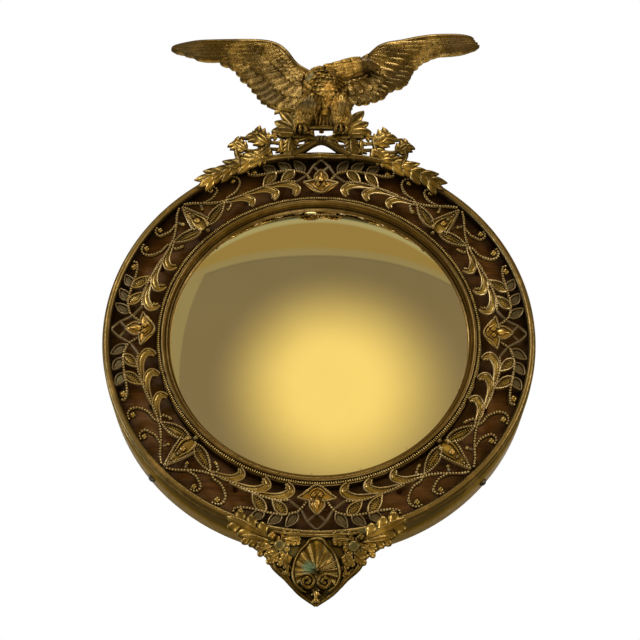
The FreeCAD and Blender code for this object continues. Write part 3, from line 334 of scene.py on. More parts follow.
def screw_head(casting, seat, up, slot_way, radius, rise, shank):
    """Add a domed head with a slot: rows across the slot, each as long as the round head allows."""
    up = np.array(up, float)
    slot_way = np.array(slot_way, float)
    across = np.cross(up, slot_way)
    rows = [-0.97, -0.8, -0.6, -0.4, -0.2]
    rows = [row * radius for row in rows] + [-SCREW_SLOT, -SCREW_SLOT]
    rows = rows + [-row for row in reversed(rows)]
    ball = (radius ** 2 + rise ** 2) / (2 * rise)
    points = []
    middle = len(rows) // 2
    for index, row in enumerate(rows):
        reach = math.sqrt(max(radius ** 2 - row ** 2, 0.0))
        for share in np.linspace(-1, 1, SCREW_COLUMNS):
            run = share * reach
            height = math.sqrt(ball ** 2 - row ** 2 - run ** 2) - (ball - rise)
            if index in (middle - 1, middle):
                height = min(height, rise - SCREW_SLOT_DEPTH)
            points.append(seat + across * row + slot_way * run + up * max(height, 0.0))
    casting.add(points, grid_faces(len(rows), SCREW_COLUMNS))
    shank_points = []
    for depth, size in ((0.0, 1.0), (-shank, SHANK_SHARE)):
        for step in range(SHANK_STEPS):
            angle = 2 * math.pi * step / SHANK_STEPS
            side = across * math.cos(angle) + slot_way * math.sin(angle)
            shank_points.append(seat + side * radius * size + up * depth)
    ends = [tuple(range(SHANK_STEPS)), tuple(range(2 * SHANK_STEPS - 1, SHANK_STEPS - 1, -1))]
    casting.add(shank_points, grid_faces(2, SHANK_STEPS, True) + ends)


def hoop_screws(name, angles, seat_r, nodes):
    """Make the screws that point at the ring's axis."""
    screws = Casting()
    for index, degrees in enumerate(angles):
        angle = math.radians(degrees)
        up = (math.sin(angle), 0.0, math.cos(angle))
        tilt = math.radians(35.0 * index + 20.0)
        along = np.array((math.cos(angle), 0.0, -math.sin(angle)))
        slot_way = along * math.cos(tilt) + FRONT * math.sin(tilt)
        seat = np.array(up) * (seat_r + SEAT_GAP) + np.array((0.0, SCREW_Y, 0.0))
        screw_head(screws, seat, up, slot_way, SCREW_HEAD_R, SCREW_HEAD_RISE, SHANK)
    screws.piece(name, steel, "dark_steel", nodes, 40.0)


def blackened_steel():
    """Return the screws' finish: brown-black, with bare metal on the edges."""
    material, place = new_finish("blackened_steel")
    rust = place.noise(480.0, 5.0)
    edge = place.node("NewGeometry", None, None, "Pointiness")
    colour = rust.step(0.45, 0.7).tint((0.035, 0.032, 0.028), (0.085, 0.048, 0.024))
    worn = (edge.step(0.52, 0.62) * 0.7).tint(colour, (0.28, 0.26, 0.22))
    relief = rust.bump(0.4, 0.0001)
    coat(place, {"Base Color": worn, "Metallic": 0.85, "Roughness": 0.42 + rust * 0.2, "Normal": relief})
    return material


steel = blackened_steel()
hoop_screws("rim_screw_heads", RIM_SCREW_DEGREES, RIM_R, ["rim_screws"])

# Mirror pad: a ring of brown felt on the board, which the edge of the glass lies on. It is
# pressed between them and only shows as a thin dark line.


def felt():
    """Return the pad's finish."""
    material, place = new_finish("felt")
    fibre = place.noise(900.0, 4.0)
    colour = fibre.tint((0.03, 0.022, 0.014), (0.09, 0.065, 0.042))
    relief = fibre.bump(0.6, 0.0003)
    coat(place, {"Base Color": colour, "Roughness": 0.95, "Normal": relief, "Sheen Weight": 0.3})
    return material


dress("mirror_pad", felt())

# Mirror glass: a blown dome of glass, silvered on its back, that bulges towards the room. Old
# silver has a warm cast, with a little haze and a few dark spots near the edge.

GLASS_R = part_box("mirror_glass")[1][0] / MM
GLASS_FRONT_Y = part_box("mirror_glass")[0][1] / MM
GLASS_CURVE_R = 175.0
GLASS_THICK = 2.4
GLASS_RINGS = 56
GLASS_STEPS = 192


def old_silver():
    """Return the dome's finish: a warm mirror with haze, and dark spots near its edge."""
    material, place = new_finish("old_silver")
    side = place.node("SeparateXYZ", None, {"Vector": place}, "X")
    high = side.sibling("Z")
    out = (side * side + high * high) ** 0.5
    spots = place.noise(310.0, 5.0)
    haze = place.noise(24.0, 4.0)
    rim_zone = out.step(0.074, 0.084)
    fox = spots.step(0.66, 0.72) * rim_zone * 0.6
    warm = haze.step(0.35, 0.7).tint((0.95, 0.94, 0.90), (0.92, 0.90, 0.84))
    colour = fox.tint(warm, (0.11, 0.08, 0.04))
    coat(place, {
        "Base Color": colour,
        "Metallic": 1.0,
        "Roughness": 0.035 + haze.step(0.5, 0.8) * 0.02 + fox * 0.3,
        "Coat Weight": 0.3,
        "Coat Roughness": 0.02,
    })
    return material


def dome_outline(curve_r, centre_y):
    """Return points from the middle of a dome to its edge."""
    outline = []
    for ring in range(GLASS_RINGS + 1):
        r = GLASS_R * ring / GLASS_RINGS
        outline.append((r, centre_y - math.sqrt(curve_r ** 2 - r ** 2)))
    return outline


glass = Casting()
dome_centre_y = GLASS_FRONT_Y + GLASS_CURVE_R
front_dome = dome_outline(GLASS_CURVE_R, dome_centre_y)
back_dome = dome_outline(GLASS_CURVE_R - GLASS_THICK, dome_centre_y)
turn(glass, front_dome + list(reversed(back_dome)), GLASS_STEPS)
dome = glass.piece("mirror_dome", old_silver(), "silvered_glass", ["mirror_glass"])

# Sight bezel: a spun brass ring on the board. Its thin lip laps over the edge of the glass, a
# smooth roll stands beside the lip, and a flat land outside the roll carries the beaded ring.

BEZEL_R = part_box("sight_bezel")[1][0] / MM
BEZEL_WIDTH = 6.1
BEZEL_WALL = 3.4
SIGHT_R = BEZEL_R - BEZEL_WIDTH
BOARD_FRONT_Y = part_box("backboard")[0][1] / MM
BEAD_RING_INSET = 1.3
BEAD_RING_R = BEZEL_R - BEAD_RING_INSET
ROLL_R = 1.35
ROLL_INSET = 3.5
ROLL_STAND = 0.2
LIP_SINK = 0.5
LAND_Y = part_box("bead_ring")[1][1] / MM
ROLL_CENTRE = (BEZEL_R - ROLL_INSET, LAND_Y - ROLL_STAND)
LIP_Y = LAND_Y + LIP_SINK

bezel_brass = aged_brass(
    "bezel_brass", (0.036, 0.024, 0.009), (0.132, 0.091, 0.036), (0.36, 0.255, 0.11),
    green=0.1, rough=0.30, crevice=2.4, wear=0.42,
)
bezel = Casting()
bezel_outline = [
    (BEZEL_R - BEZEL_WALL, BOARD_FRONT_Y),
    (BEZEL_R, BOARD_FRONT_Y),
    (BEZEL_R, LAND_Y + EDGE_ROUND),
    (BEZEL_R - EDGE_ROUND, LAND_Y),
    (ROLL_CENTRE[0] + ROLL_R, LAND_Y),
]
bezel_outline += arc_outline(ROLL_CENTRE, ROLL_R, 10.0, 175.0, 12)
bezel_outline += [
    (SIGHT_R + 0.9, LIP_Y + 0.1),
    (SIGHT_R + 0.15, LIP_Y + 0.05),
    (SIGHT_R, LIP_Y + 0.3),
    (SIGHT_R, LIP_Y + 0.78),
    (BEZEL_R - BEZEL_WALL, LIP_Y + 2.0),
]
turn(bezel, bezel_outline, RIM_STEPS)
bezel.piece("bezel_ring", bezel_brass, "aged_brass", ["sight_bezel"])

# Beaded ring: a strip of milled brass soldered on the bezel's land, with a rounded ridge across
# it every 1.2 mm.

RIDGE_PITCH = 1.2
RIDGE_HALF_WIDTH = 1.0
RIDGE_HALF_LENGTH = RIDGE_PITCH * 0.42
RIDGE_RISE = 0.7
RIDGE_STAND = 0.8
STRIP_R = 0.95


def ball_shell(segments, rings):
    """Return the points and faces of a ball of radius 1, with its poles on the Y axis."""
    points = [(0.0, -1.0, 0.0)]
    for ring in range(1, rings):
        tilt = math.pi * ring / rings
        for step in range(segments):
            angle = 2 * math.pi * step / segments
            reach = math.sin(tilt)
            points.append((reach * math.cos(angle), -math.cos(tilt), reach * math.sin(angle)))
    points.append((0.0, 1.0, 0.0))
    last = len(points) - 1
    faces = [(0, 1 + (step + 1) % segments, 1 + step) for step in range(segments)]
    inner = grid_faces(rings - 1, segments, True)
    faces += [(a + 1, b + 1, c + 1, d + 1) for a, b, c, d in inner]
    tail = last - segments
    faces += [(last, tail + step, tail + (step + 1) % segments) for step in range(segments)]
    return np.array(points), faces


PEARL_POINTS, PEARL_FACES = ball_shell(7, 5)
BALL_POINTS, BALL_FACES = ball_shell(14, 9)


def pearl(casting, centre, radius):
    """Add a small bead."""
    casting.add(PEARL_POINTS * radius + np.array(centre), PEARL_FACES)


def ball(casting, centre, radii):
    """Add a larger ball, which may be flattened."""
    casting.add(BALL_POINTS * np.array(radii) + np.array(centre), BALL_FACES)


ring_brass = aged_brass(
    "ring_brass", (0.04, 0.028, 0.010), (0.15, 0.108, 0.040), (0.56, 0.42, 0.18),
    green=0.1, rough=0.30, crevice=1.0, wear=0.5,
)
beads = Casting()
strip = [(BEAD_RING_R - STRIP_R, LAND_Y), (BEAD_RING_R + STRIP_R, LAND_Y)]
strip += arc_outline((BEAD_RING_R, LAND_Y - 0.1), STRIP_R * 0.8, 0.0, 180.0, 9)
turn(beads, strip, RIM_STEPS)
bead_count = round(2 * math.pi * BEAD_RING_R / RIDGE_PITCH)
for index in range(bead_count):
    angle = 2 * math.pi * index / bead_count
    out = np.array((math.sin(angle), 0.0, math.cos(angle)))
    along = np.array((math.cos(angle), 0.0, -math.sin(angle)))
    ridge = np.outer(PEARL_POINTS[:, 0], out) * RIDGE_HALF_WIDTH
    ridge = ridge + np.outer(PEARL_POINTS[:, 2], along) * RIDGE_HALF_LENGTH
    ridge = ridge + np.outer(PEARL_POINTS[:, 1], -FRONT) * RIDGE_RISE
    beads.add(ridge + out * BEAD_RING_R + FRONT * (RIDGE_STAND - LAND_Y), PEARL_FACES)
beads.piece("beaded_wire", ring_brass, "aged_brass", ["bead_ring"])

# Scroll quarters: four pierced castings between the beaded ring and the rim. Pearled wires make
# a vine from star to flower with tendrils, horns and pearled leaves. Short cast feet stand on
# the board, and each half of a quarter is the other half seen in its 45 degree line.

SCROLL_IN = 87.4
SCROLL_OUT = 110.9
SCROLL_STAND = 6.5
SCROLL_THICK = 2.0
SCROLL_BACK_Y = BOARD_FRONT_Y - SCROLL_STAND
SCROLL_FRONT_Y = SCROLL_BACK_Y - SCROLL_THICK
WIRE_R = 0.92
WIRE_PEARL_R = 0.80
WIRE_PITCH = 1.5
WIRE_FLAT = 1.2
PEARL_STAND = 0.15
EDGE_WIRE_R = 0.55
EDGE_PEARL_R = 0.62
EDGE_PITCH = 1.3
EDGE_SIDES = 7
EDGE_FLAT = 1.3
EDGE_STAND = 0.6
LEAF_PEARL_R = 0.55
LEAF_PITCH = 1.2
LEAF_FLAT = 1.4
LATTICE_STAND = 0.4
VEIN_R = 0.3
VEIN_SHARE = 0.42
HORN_SIDES = 12
HORN_FLAT = 0.7
HORN_EDGE_SHARE = 0.9
HORN_EDGE_SINK = 0.2
CURL_SINK = 0.5
CURL_RISE = 1.2
QUARTER_TURN = 90.0
STAR_DEGREES = 45.0
STAR_SINK = 0.4
STAR_WIDTH = 10.5
STAR_PETAL_WIDTH = 6.0
STAR_PEARL_RADII = (1.25, 1.3, 1.25)
FOOT_R = 1.2
FLOWER_SEAT_SHARE = 0.255
BLADE_LEAST = 0.03
MIDRIB_RISE = 0.45
MIDRIB_HALF = 0.13
BARB_SLANT = 1.3


def polar(place, flip=False):
    """Return the point at a share of the ring's width and an angle from the top."""
    share, degrees = place
    angle = math.radians(90.0 - degrees if flip else degrees)
    radius = SCROLL_IN + share * (SCROLL_OUT - SCROLL_IN)
    return np.array((radius * math.sin(angle), 0.0, radius * math.cos(angle)))


def curve(points, per_span=6):
    """Return a smooth run of points through the given ones."""
    points = [np.array(point, float) for point in points]
    padded = [points[0] * 2 - points[1]] + points + [points[-1] * 2 - points[-2]]
    run = []
    for index in range(1, len(padded) - 2):
        a, b, c, d = padded[index - 1:index + 3]
        for t in np.arange(per_span) / per_span:
            run.append(0.5 * (2 * b + (c - a) * t + (2 * a - 5 * b + 4 * c - d) * t ** 2
                              + (3 * b - a - 3 * c + d) * t ** 3))
    run.append(points[-1])
    return run


def spread(values, count):
    """Return count values read evenly along a short list."""
    return np.interp(np.linspace(0, len(values) - 1, count), range(len(values)), values)


def tube(casting, path, radii, sides=8, flat=1.0):
    """Add a closed tube along a path. Its radii are read evenly along it, and flat squeezes it."""
    count = len(path)
    sizes = spread(radii, count)
    points = []
    for index, middle in enumerate(path):
        along = path[min(index + 1, count - 1)] - path[max(index - 1, 0)]
        along = along / max(np.linalg.norm(along), 1e-9)
        guide = FRONT if abs(along[1]) < 0.9 else np.array((0.0, 0.0, 1.0))
        aside = np.cross(along, guide)
        aside = aside / np.linalg.norm(aside)
        over = np.cross(aside, along)
        for side in range(sides):
            angle = 2 * math.pi * side / sides
            points.append(middle + sizes[index] * (aside * math.cos(angle) + over * math.sin(angle) * flat))
    faces = grid_faces(count, sides, True)
    faces += [tuple(range(sides - 1, -1, -1)), tuple(range((count - 1) * sides, count * sides))]
    casting.add(points, faces)


def pearl_row(casting, path, radius, pitch):
    """Add beads at an even pitch along a path."""
    path = np.array(path)
    runs = np.concatenate([[0.0], np.cumsum(np.linalg.norm(np.diff(path, axis=0), axis=1))])
    count = max(int(runs[-1] / pitch), 1)
    for run in np.linspace(pitch / 2, runs[-1] - pitch / 2, count):
        pearl(casting, [np.interp(run, runs, path[:, axis]) for axis in range(3)], radius)


def leaf_width(t):
    """Pointed at both ends."""
    return math.sin(math.pi * t ** 0.8) ** 0.85


def petal_width(t):
    """Narrow at its foot and round at its tip."""
    return min(1.0, 0.28 + 1.1 * t ** 0.9) * math.sqrt(max(1.0 - max(t - 0.55, 0.0) ** 2 / 0.2025, 0.0))


def feather_width(t):
    """Even sides and a blunt round tip."""
    return min(1.0, 0.55 + 1.6 * t) * math.sqrt(max(1.0 - max(t - 0.72, 0.0) ** 2 / 0.0784, 0.0))


def blade(casting, base, tip, width, rise, shape, normal=FRONT, bend=0.0, lift=(0.0, 0.0), roll=0.0,
          thick=0.5, groove=0.5, rows=18, columns=9, barbs=0.0):
    """Add a closed leaf, petal or feather from base to tip, standing off along the normal.

    Its width follows the shape. It may bend sideways, lift from base to tip, roll from side to side
    and have a groove on each side of its midrib. Barbs is the share of fine lines on it.
    """
    base = np.array(base, float)
    tip = np.array(tip, float)
    normal = np.array(normal, float)
    along = tip - base
    length = np.linalg.norm(along)
    across = np.cross(along, normal)
    across = across / np.linalg.norm(across)
    shares = np.linspace(0.0, 1.0, rows)
    sides = np.linspace(-1.0, 1.0, columns)
    front = []
    back = []
    marks = []
    for t in shares:
        middle = base + along * t + across * bend * length * 4 * t * (1 - t)
        way = along + across * bend * length * 4 * (1 - 2 * t)
        aside = np.cross(way, normal)
        aside = aside / np.linalg.norm(aside)
        half = width / 2 * max(shape(t), BLADE_LEAST)
        stand = lift[0] + (lift[1] - lift[0]) * t
        for s in sides:
            crown = (1.0 - abs(s) ** 2.2) * (1.0 - groove) + groove * math.sin(math.pi * abs(s)) ** 0.8
            ridge = MIDRIB_RISE * math.exp(-(s / MIDRIB_HALF) ** 2) * (1.0 - 0.7 * t)
            height = rise * max(shape(t), 0.12) ** 0.5 * (crown + ridge)
            front.append(middle + aside * half * s + normal * (stand + thick + max(height, 0.0) + roll * s))
            marks.append(barbs * (t * length + abs(s) * half * BARB_SLANT))
        for s in (-1.0, 1.0):
            back.append(middle + aside * half * s + normal * (stand + roll * s))
    faces = grid_faces(rows, columns)
    first = rows * columns
    for row in range(rows - 1):
        left = row * columns
        right = left + columns - 1
        low = first + row * 2
        faces.append((left, left + columns, low + 2, low))
        faces.append((right + columns, right, low + 1, low + 3))
        faces.append((low, low + 2, low + 3, low + 1))
    faces.append(tuple(range(columns)) + (first + 1, first))
    end = (rows - 1) * columns
    faces.append(tuple(range(end + columns - 1, end - 1, -1)) + (first + rows * 2 - 2, first + rows * 2 - 1))
    casting.add(front + back, faces, marks + [0.0] * len(back))


def boss(casting, centre, outline, steps=20):
    """Turn an outline of (radius, height) points round a line through the centre to the front."""
    points = []
    for r, height in outline:
        for step in range(steps):
            angle = 2 * math.pi * step / steps
            x = centre[0] + r * math.cos(angle)
            points.append((x, centre[1] - height, centre[2] + r * math.sin(angle)))
    faces = grid_faces(len(outline), steps, True)
    faces += [tuple(range(steps)), tuple(range(len(points) - 1, len(points) - steps - 1, -1))]
    casting.add(points, faces)


def leaf_edges(base, tip, width, y, share=0.96, shape=leaf_width):
    """Return lines along the two sides of a leaf, moved to the front by a depth."""
    along = tip - base
    aside = np.cross(along, FRONT) / np.linalg.norm(along)
    lines = []
    for side in (-1, 1):
        reach = aside * side * width / 2 * share
        lines.append([base + along * t + reach * shape(t) + FRONT * -y for t in np.linspace(0.0, 1.0, 15)])
    return lines


def wire_leaf(casting, wires, base, tip, width, ridges):
    """Add a flat leaf in a raised wire, with ridges along it at shares of its half width."""
    low = FRONT * -SCROLL_BACK_Y
    blade(casting, base + low, tip + low, width, 0.4, leaf_width, thick=1.5, groove=0.0, rows=16, columns=7)
    for line in leaf_edges(base, tip, width, SCROLL_FRONT_Y):
        tube(wires, line, [EDGE_WIRE_R], EDGE_SIDES, LEAF_FLAT)
    for share in ridges:
        lines = leaf_edges(base, tip, width, SCROLL_FRONT_Y + 0.2, share)
        for line in lines[:2 if share else 1]:
            pearl_row(casting, line[1:-1], LEAF_PEARL_R, LEAF_PITCH)


def pearled_edge(casting, line, wire_r, pearl_r, stand):
    """Add a wire along a line, with pearls on it that stand off by a distance."""
    tube(casting, line, [wire_r], EDGE_SIDES, EDGE_FLAT)
    pearl_row(casting, [point + FRONT * stand for point in line], pearl_r, EDGE_PITCH)


def star_width(t):
    """Widest near its foot, with straight sides to its point."""
    return min(1.0, 0.75 + 1.6 * t) * (1.0 - max(t - 0.12, 0.0) / 0.88)


def at_depth(points, y):
    """Return the points moved to a depth."""
    return [np.array((point[0], y, point[2])) for point in points]


# Places as shares of the ring's width and degrees from the flower, the same as in the solids
branch_shares = (
    (0.37, 3.0), (0.55, 4.6), (0.63, 5.8), (0.70, 8.2), (0.735, 10.7), (0.745, 14.8), (0.76, 18.0),
    (0.81, 20.8), (0.89, 22.3), (0.975, 22.1),
)
vine_shares = (
    (0.97, 44.2), (0.85, 41.9), (0.66, 39.0), (0.50, 35.5), (0.43, 32.4), (0.385, 29.1), (0.39, 24.0),
    (0.41, 19.5), (0.435, 13.6), (0.41, 10.2), (0.38, 8.4),
)
tendril_low_shares = (
    (0.43, 33.0), (0.50, 31.6), (0.52, 29.3), (0.60, 27.4), (0.72, 26.0), (0.87, 25.8), (0.965, 27.0),
    (0.98, 28.6),
)
tendril_high_shares = (
    (0.69, 39.3), (0.67, 36.6), (0.71, 35.1), (0.79, 33.4), (0.90, 33.3), (0.97, 34.2), (0.98, 35.3),
)
curl_shares = ((0.42, 34.2), (0.36, 32.3), (0.29, 32.1), (0.23, 33.0), (0.18, 34.1))
pearled_shares = (branch_shares, vine_shares, tendril_low_shares, tendril_high_shares, curl_shares)
lattice_shares = (
    ((0.38, 8.4), (0.55, 4.6)),
    ((0.55, 4.6), (0.68, 3.5), (0.81, 2.5), (0.975, 0.5), (0.98, 0.0)),
    ((0.81, 2.5), (0.62, 0.0)),
    ((0.68, 40.3), (0.57, 40.9)),
)
horn_shares = (
    (
        (0.40, 19.0), (0.38, 16.5), (0.37, 14.0), (0.34, 11.6),
        (0.28, 9.7), (0.18, 8.4), (0.08, 8.8), (0.01, 10.0),
    ),
    (
        (0.385, 27.0), (0.37, 24.0), (0.36, 21.6), (0.33, 19.2),
        (0.27, 17.4), (0.17, 16.1), (0.08, 16.6), (0.01, 17.8),
    ),
    (
        (0.42, 33.4), (0.375, 31.2), (0.355, 29.6), (0.32, 27.8),
        (0.26, 26.3), (0.16, 25.1), (0.08, 25.4), (0.01, 26.5),
    ),
)
horn_radii = (0.6, 1.1, 1.45, 1.8, 2.1, 2.1, 1.6, 0.9)
curl_ball_shares = (
    ((0.895, 20.6), 2.2), ((0.87, 27.6), 2.0), ((0.89, 34.9), 1.9), ((0.185, 34.3), 1.2), ((0.57, 40.9), 1.3),
    ((0.12, 9.8), 1.1), ((0.12, 17.6), 1.1), ((0.12, 26.2), 1.1),
)
outer_leaf_shares = (
    ((0.64, 5.4), (0.99, 7.9), 5.2), ((0.73, 9.6), (0.99, 12.7), 5.2), ((0.75, 14.4), (0.99, 17.4), 5.2),
)
inner_leaf_shares = (((0.71, 8.4), (0.44, 13.2), 5.4), ((0.75, 14.2), (0.43, 19.4), 5.4))
foot_shares = ((0.39, 25.5), (0.40, STAR_DEGREES))
STAR_APEX = (0.94, STAR_DEGREES)
STAR_FOOT = (0.12, STAR_DEGREES)
star_petal_shares = ((0.14, 43.6), (0.41, 33.8))
star_pearl_shares = ((0.17, 43.3), (0.56, STAR_DEGREES), (0.03, STAR_DEGREES))

scroll_brass = aged_brass(
    "scroll_brass", (0.042, 0.022, 0.007), (0.19, 0.135, 0.046), (0.74, 0.55, 0.215),
    green=0.4, rough=0.26, crevice=1.6, wear=0.55,
)
# The pearled wires are in a paler, less metallic brass than the scrollwork: partly rubbed brass and partly a
# painted highlight on the pearls.
cream_brass = aged_brass(
    "cream_brass", (0.05, 0.036, 0.016), (0.31, 0.23, 0.11), (0.92, 0.75, 0.45),
    green=0.3, rough=0.27, crevice=1.2, wear=0.66, metal=0.6,
)
dull_brass = aged_brass(
    "dull_brass", (0.034, 0.026, 0.015), (0.15, 0.113, 0.068), (0.52, 0.405, 0.27),
    green=0.5, rough=0.36, crevice=2.0, wear=0.5, metal=0.6,
)
dim_brass = aged_brass(
    "dim_brass", (0.020, 0.016, 0.009), (0.062, 0.053, 0.033), (0.17, 0.145, 0.09),
    green=0.6, rough=0.42, crevice=2.0, wear=0.4, metal=0.7,
)
leaf_brass = aged_brass(
    "leaf_brass", (0.04, 0.024, 0.008), (0.25, 0.155, 0.042), (0.82, 0.58, 0.21),
    green=0.2, rough=0.28, crevice=1.6, wear=0.6,
)
quarter = Casting()
pearls = Casting()
lattice = Casting()
plates = Casting()
plate_y = (SCROLL_BACK_Y + SCROLL_FRONT_Y) / 2
star_low = FRONT * (STAR_SINK - SCROLL_BACK_Y)
for flip in (False, True):
    for shares in pearled_shares:
        run = curve([polar(place, flip) for place in shares])
        tube(quarter, at_depth(run, plate_y), [WIRE_R], flat=WIRE_FLAT)
        pearl_row(pearls, at_depth(run, SCROLL_FRONT_Y - PEARL_STAND), WIRE_PEARL_R, WIRE_PITCH)
    for shares in lattice_shares:
        bar = [polar(place, flip) for place in shares]
        tube(lattice, at_depth(bar, plate_y - LATTICE_STAND), [WIRE_R], flat=WIRE_FLAT)
    for shares in horn_shares:
        run = curve([polar(place, flip) for place in shares])
        tube(quarter, at_depth(run, plate_y), horn_radii, HORN_SIDES, HORN_FLAT)
        edge = np.array(at_depth(run, SCROLL_FRONT_Y + HORN_EDGE_SINK))
        ways = np.gradient(edge, axis=0)
        asides = np.cross(ways, FRONT) / np.linalg.norm(ways, axis=1)[:, None]
        asides = asides * spread(horn_radii, len(run))[:, None] * (1.0 if flip else -1.0)
        for side in (1.0, -1.0):
            tube(pearls, list(edge + asides * HORN_EDGE_SHARE * side), [EDGE_WIRE_R], EDGE_SIDES, EDGE_FLAT)
    for place, reach in curl_ball_shares:
        centre = at_depth([polar(place, flip)], SCROLL_FRONT_Y + CURL_SINK)[0]
        ball(quarter, centre, (reach, CURL_RISE + reach * 0.15, reach))
    for base, tip, width in outer_leaf_shares:
        ends = (polar(base, flip), polar(tip, flip))
        wire_leaf(plates, lattice, *ends, width, ())
        for line in leaf_edges(*ends, width, SCROLL_FRONT_Y + LATTICE_STAND, VEIN_SHARE):
            tube(lattice, line[3:-2], [VEIN_R], 6)
    for base, tip, width in inner_leaf_shares:
        wire_leaf(quarter, pearls, polar(base, flip), polar(tip, flip), width, (0.0, 0.5))
    start, end = (polar(place, flip) for place in star_petal_shares)
    blade(quarter, start + star_low, end + star_low, 5.6, 0.5, leaf_width, thick=1.0, groove=0.0, rows=20)
    for line in leaf_edges(start, end, STAR_PETAL_WIDTH, SCROLL_FRONT_Y - 0.1, 0.30):
        pearl_row(quarter, line[1:-1], LEAF_PEARL_R, LEAF_PITCH)
    for line in leaf_edges(start, end, STAR_PETAL_WIDTH, SCROLL_FRONT_Y):
        pearled_edge(pearls, line, EDGE_WIRE_R, EDGE_PEARL_R, EDGE_STAND)
    for place in star_pearl_shares:
        ball(pearls, at_depth([polar(place, flip)], SCROLL_FRONT_Y)[0], STAR_PEARL_RADII)
    for place in foot_shares:
        spot = polar(place, flip)
        tube(quarter, [spot + FRONT * -BOARD_FRONT_Y, spot + FRONT * -plate_y], [FOOT_R], 10)
star_ends = (polar(STAR_FOOT) + star_low, polar(STAR_APEX) + star_low)
blade(quarter, *star_ends, STAR_WIDTH, 0.3, star_width, thick=1.2, groove=0.0, rows=16)
star_rib = [polar((share, STAR_DEGREES)) for share in (0.64, 0.86)]
pearl_row(pearls, at_depth(star_rib, SCROLL_FRONT_Y), 0.7, 1.5)
for side in (-1, 1):
    edge_shares = ((0.24, STAR_DEGREES + side * 3.4), (0.56, STAR_DEGREES + side * 2.0), STAR_APEX)
    edge_path = curve([polar(place) for place in edge_shares])
    tube(pearls, at_depth(edge_path, SCROLL_FRONT_Y + 0.3), [0.75], EDGE_SIDES)
    pearl_row(pearls, at_depth(edge_path, SCROLL_FRONT_Y - 0.5), EDGE_PEARL_R, EDGE_PITCH)
    rib_shares = ((0.10, 1.2), (0.30, 2.0), (0.58, 0.9))
    rib_path = curve([polar((share, STAR_DEGREES + side * aside)) for share, aside in rib_shares])
    tube(quarter, at_depth(rib_path, SCROLL_FRONT_Y - 0.3), (0.9, 0.8, 0.4))
for degrees in (0.0, QUARTER_TURN):
    seat = polar((FLOWER_SEAT_SHARE, degrees))
    boss(quarter, (seat[0], SCROLL_BACK_Y, seat[2]), [(4.3, 0.0), (4.4, 1.2), (4.0, 1.7), (2.0, 1.9)], 24)
for index, name in enumerate(("upper_right", "lower_right", "lower_left", "upper_left")):
    degrees = QUARTER_TURN * index
    quarter.turned(degrees).piece("scrollwork_" + name, scroll_brass, "aged_brass", ["scroll_" + name])
    pearls.turned(degrees).piece("pearl_wires_" + name, cream_brass, "aged_brass", [])
    lattice.turned(degrees).piece("lattice_" + name, dull_brass, "aged_brass", [])
    plates.turned(degrees).piece("leaf_plates_" + name, dim_brass, "aged_brass", [])

# Scroll pins: brass escutcheon pins with domed heads, one through each star into the board.

pins = Casting()
pin_spot = polar((0.40, STAR_DEGREES))
boss(pins, (pin_spot[0], SCROLL_FRONT_Y, pin_spot[2]),
     [(1.2, -0.8), (1.7, 0.2), (1.6, 0.7), (1.1, 1.25), (0.4, 1.5)], 16)
all_pins = Casting()
for index in range(4):
    copy = pins.turned(QUARTER_TURN * index)
    all_pins.add(copy.points, copy.faces)
all_pins.piece("star_pin_heads", leaf_brass, "plain_brass", ["scroll_pins"])

# Flower bosses: four small castings over the seams between the quarters. Each has a ridged bud
# that points outwards, two side petals in pearled wire and a pair of berries at its heart.

FLOWER_R = 93.4
FLOWER_Y = SCROLL_FRONT_Y
BUD_FOOT = 1.4
BUD_TIP = 9.6
BUD_WIDTH = 7.4
FLOWER_WIRE_R = 0.6
FLOWER_PEARL_STAND = 0.45
PETAL_TIP = (9.8, 0.9)
flower = Casting()
flower_wire = Casting()


def flower_point(across, out, stand=0.0):
    """Return a point of the top flower, from the middle of its seat."""
    return np.array((across, FLOWER_Y - stand, FLOWER_R + out))


def bud_width(t):
    """Round at its foot and pointed at its tip."""
    return min(1.0, 0.72 + 1.4 * t) * min(1.0, (1.0 - t) * 1.9) ** 0.75


def calyx_width(t):
    """Widest near its foot, and drawn out to a point."""
    return min(1.0, 0.6 + 2.6 * t) * (1.0 - max(t - 0.15, 0.0) / 0.85) ** 0.8


flower_edges = []
for side in (-1, 1):
    petal_tip = (side * PETAL_TIP[0], PETAL_TIP[1])
    blade(
        flower, flower_point(0.0, -2.2), flower_point(*petal_tip), 8.0, 0.5, calyx_width,
        thick=0.7, groove=0.35, rows=26,
    )
    for ends in (
        ((0.0, -5.9), (side * 2.6, -4.9), (side * 5.2, -2.2), petal_tip),
        ((side * 2.2, 2.6), (side * 4.6, 2.2), petal_tip),
    ):
        flower_edges.append(curve([flower_point(across, out, 0.9) for across, out in ends]))
    ball(flower, flower_point(side * 1.75, -0.6, 1.2), (1.5, 1.2, 1.7))
    rib_ends = ((side * 4.6, -0.2, 0.9), (side * 2.4, -2.9, 1.2), (0.0, -4.2, 1.0))
    tube(flower, curve([flower_point(*end) for end in rib_ends]), [0.5, 0.8, 0.5], EDGE_SIDES)
boss(flower, flower_point(0.0, -1.2), [(4.2, 0.0), (4.2, 0.6), (3.6, 0.9), (1.0, 1.0)])
bud_foot = flower_point(0.0, BUD_FOOT)
bud_tip = flower_point(0.0, BUD_TIP)
blade(flower, bud_foot, bud_tip, BUD_WIDTH * 0.95, 0.6, bud_width, thick=0.7, groove=0.0, rows=20)
blade(
    flower, bud_foot + FRONT * 0.6, flower_point(0.0, BUD_TIP - 2.0, 0.6), BUD_WIDTH * 0.5, 1.3, bud_width,
    groove=0.3, rows=16,
)
flower_edges += leaf_edges(bud_foot, bud_tip, BUD_WIDTH, -0.9, 1.0, bud_width)
for line in flower_edges:
    pearled_edge(flower_wire, line, FLOWER_WIRE_R, FLOWER_WIRE_R, FLOWER_PEARL_STAND)
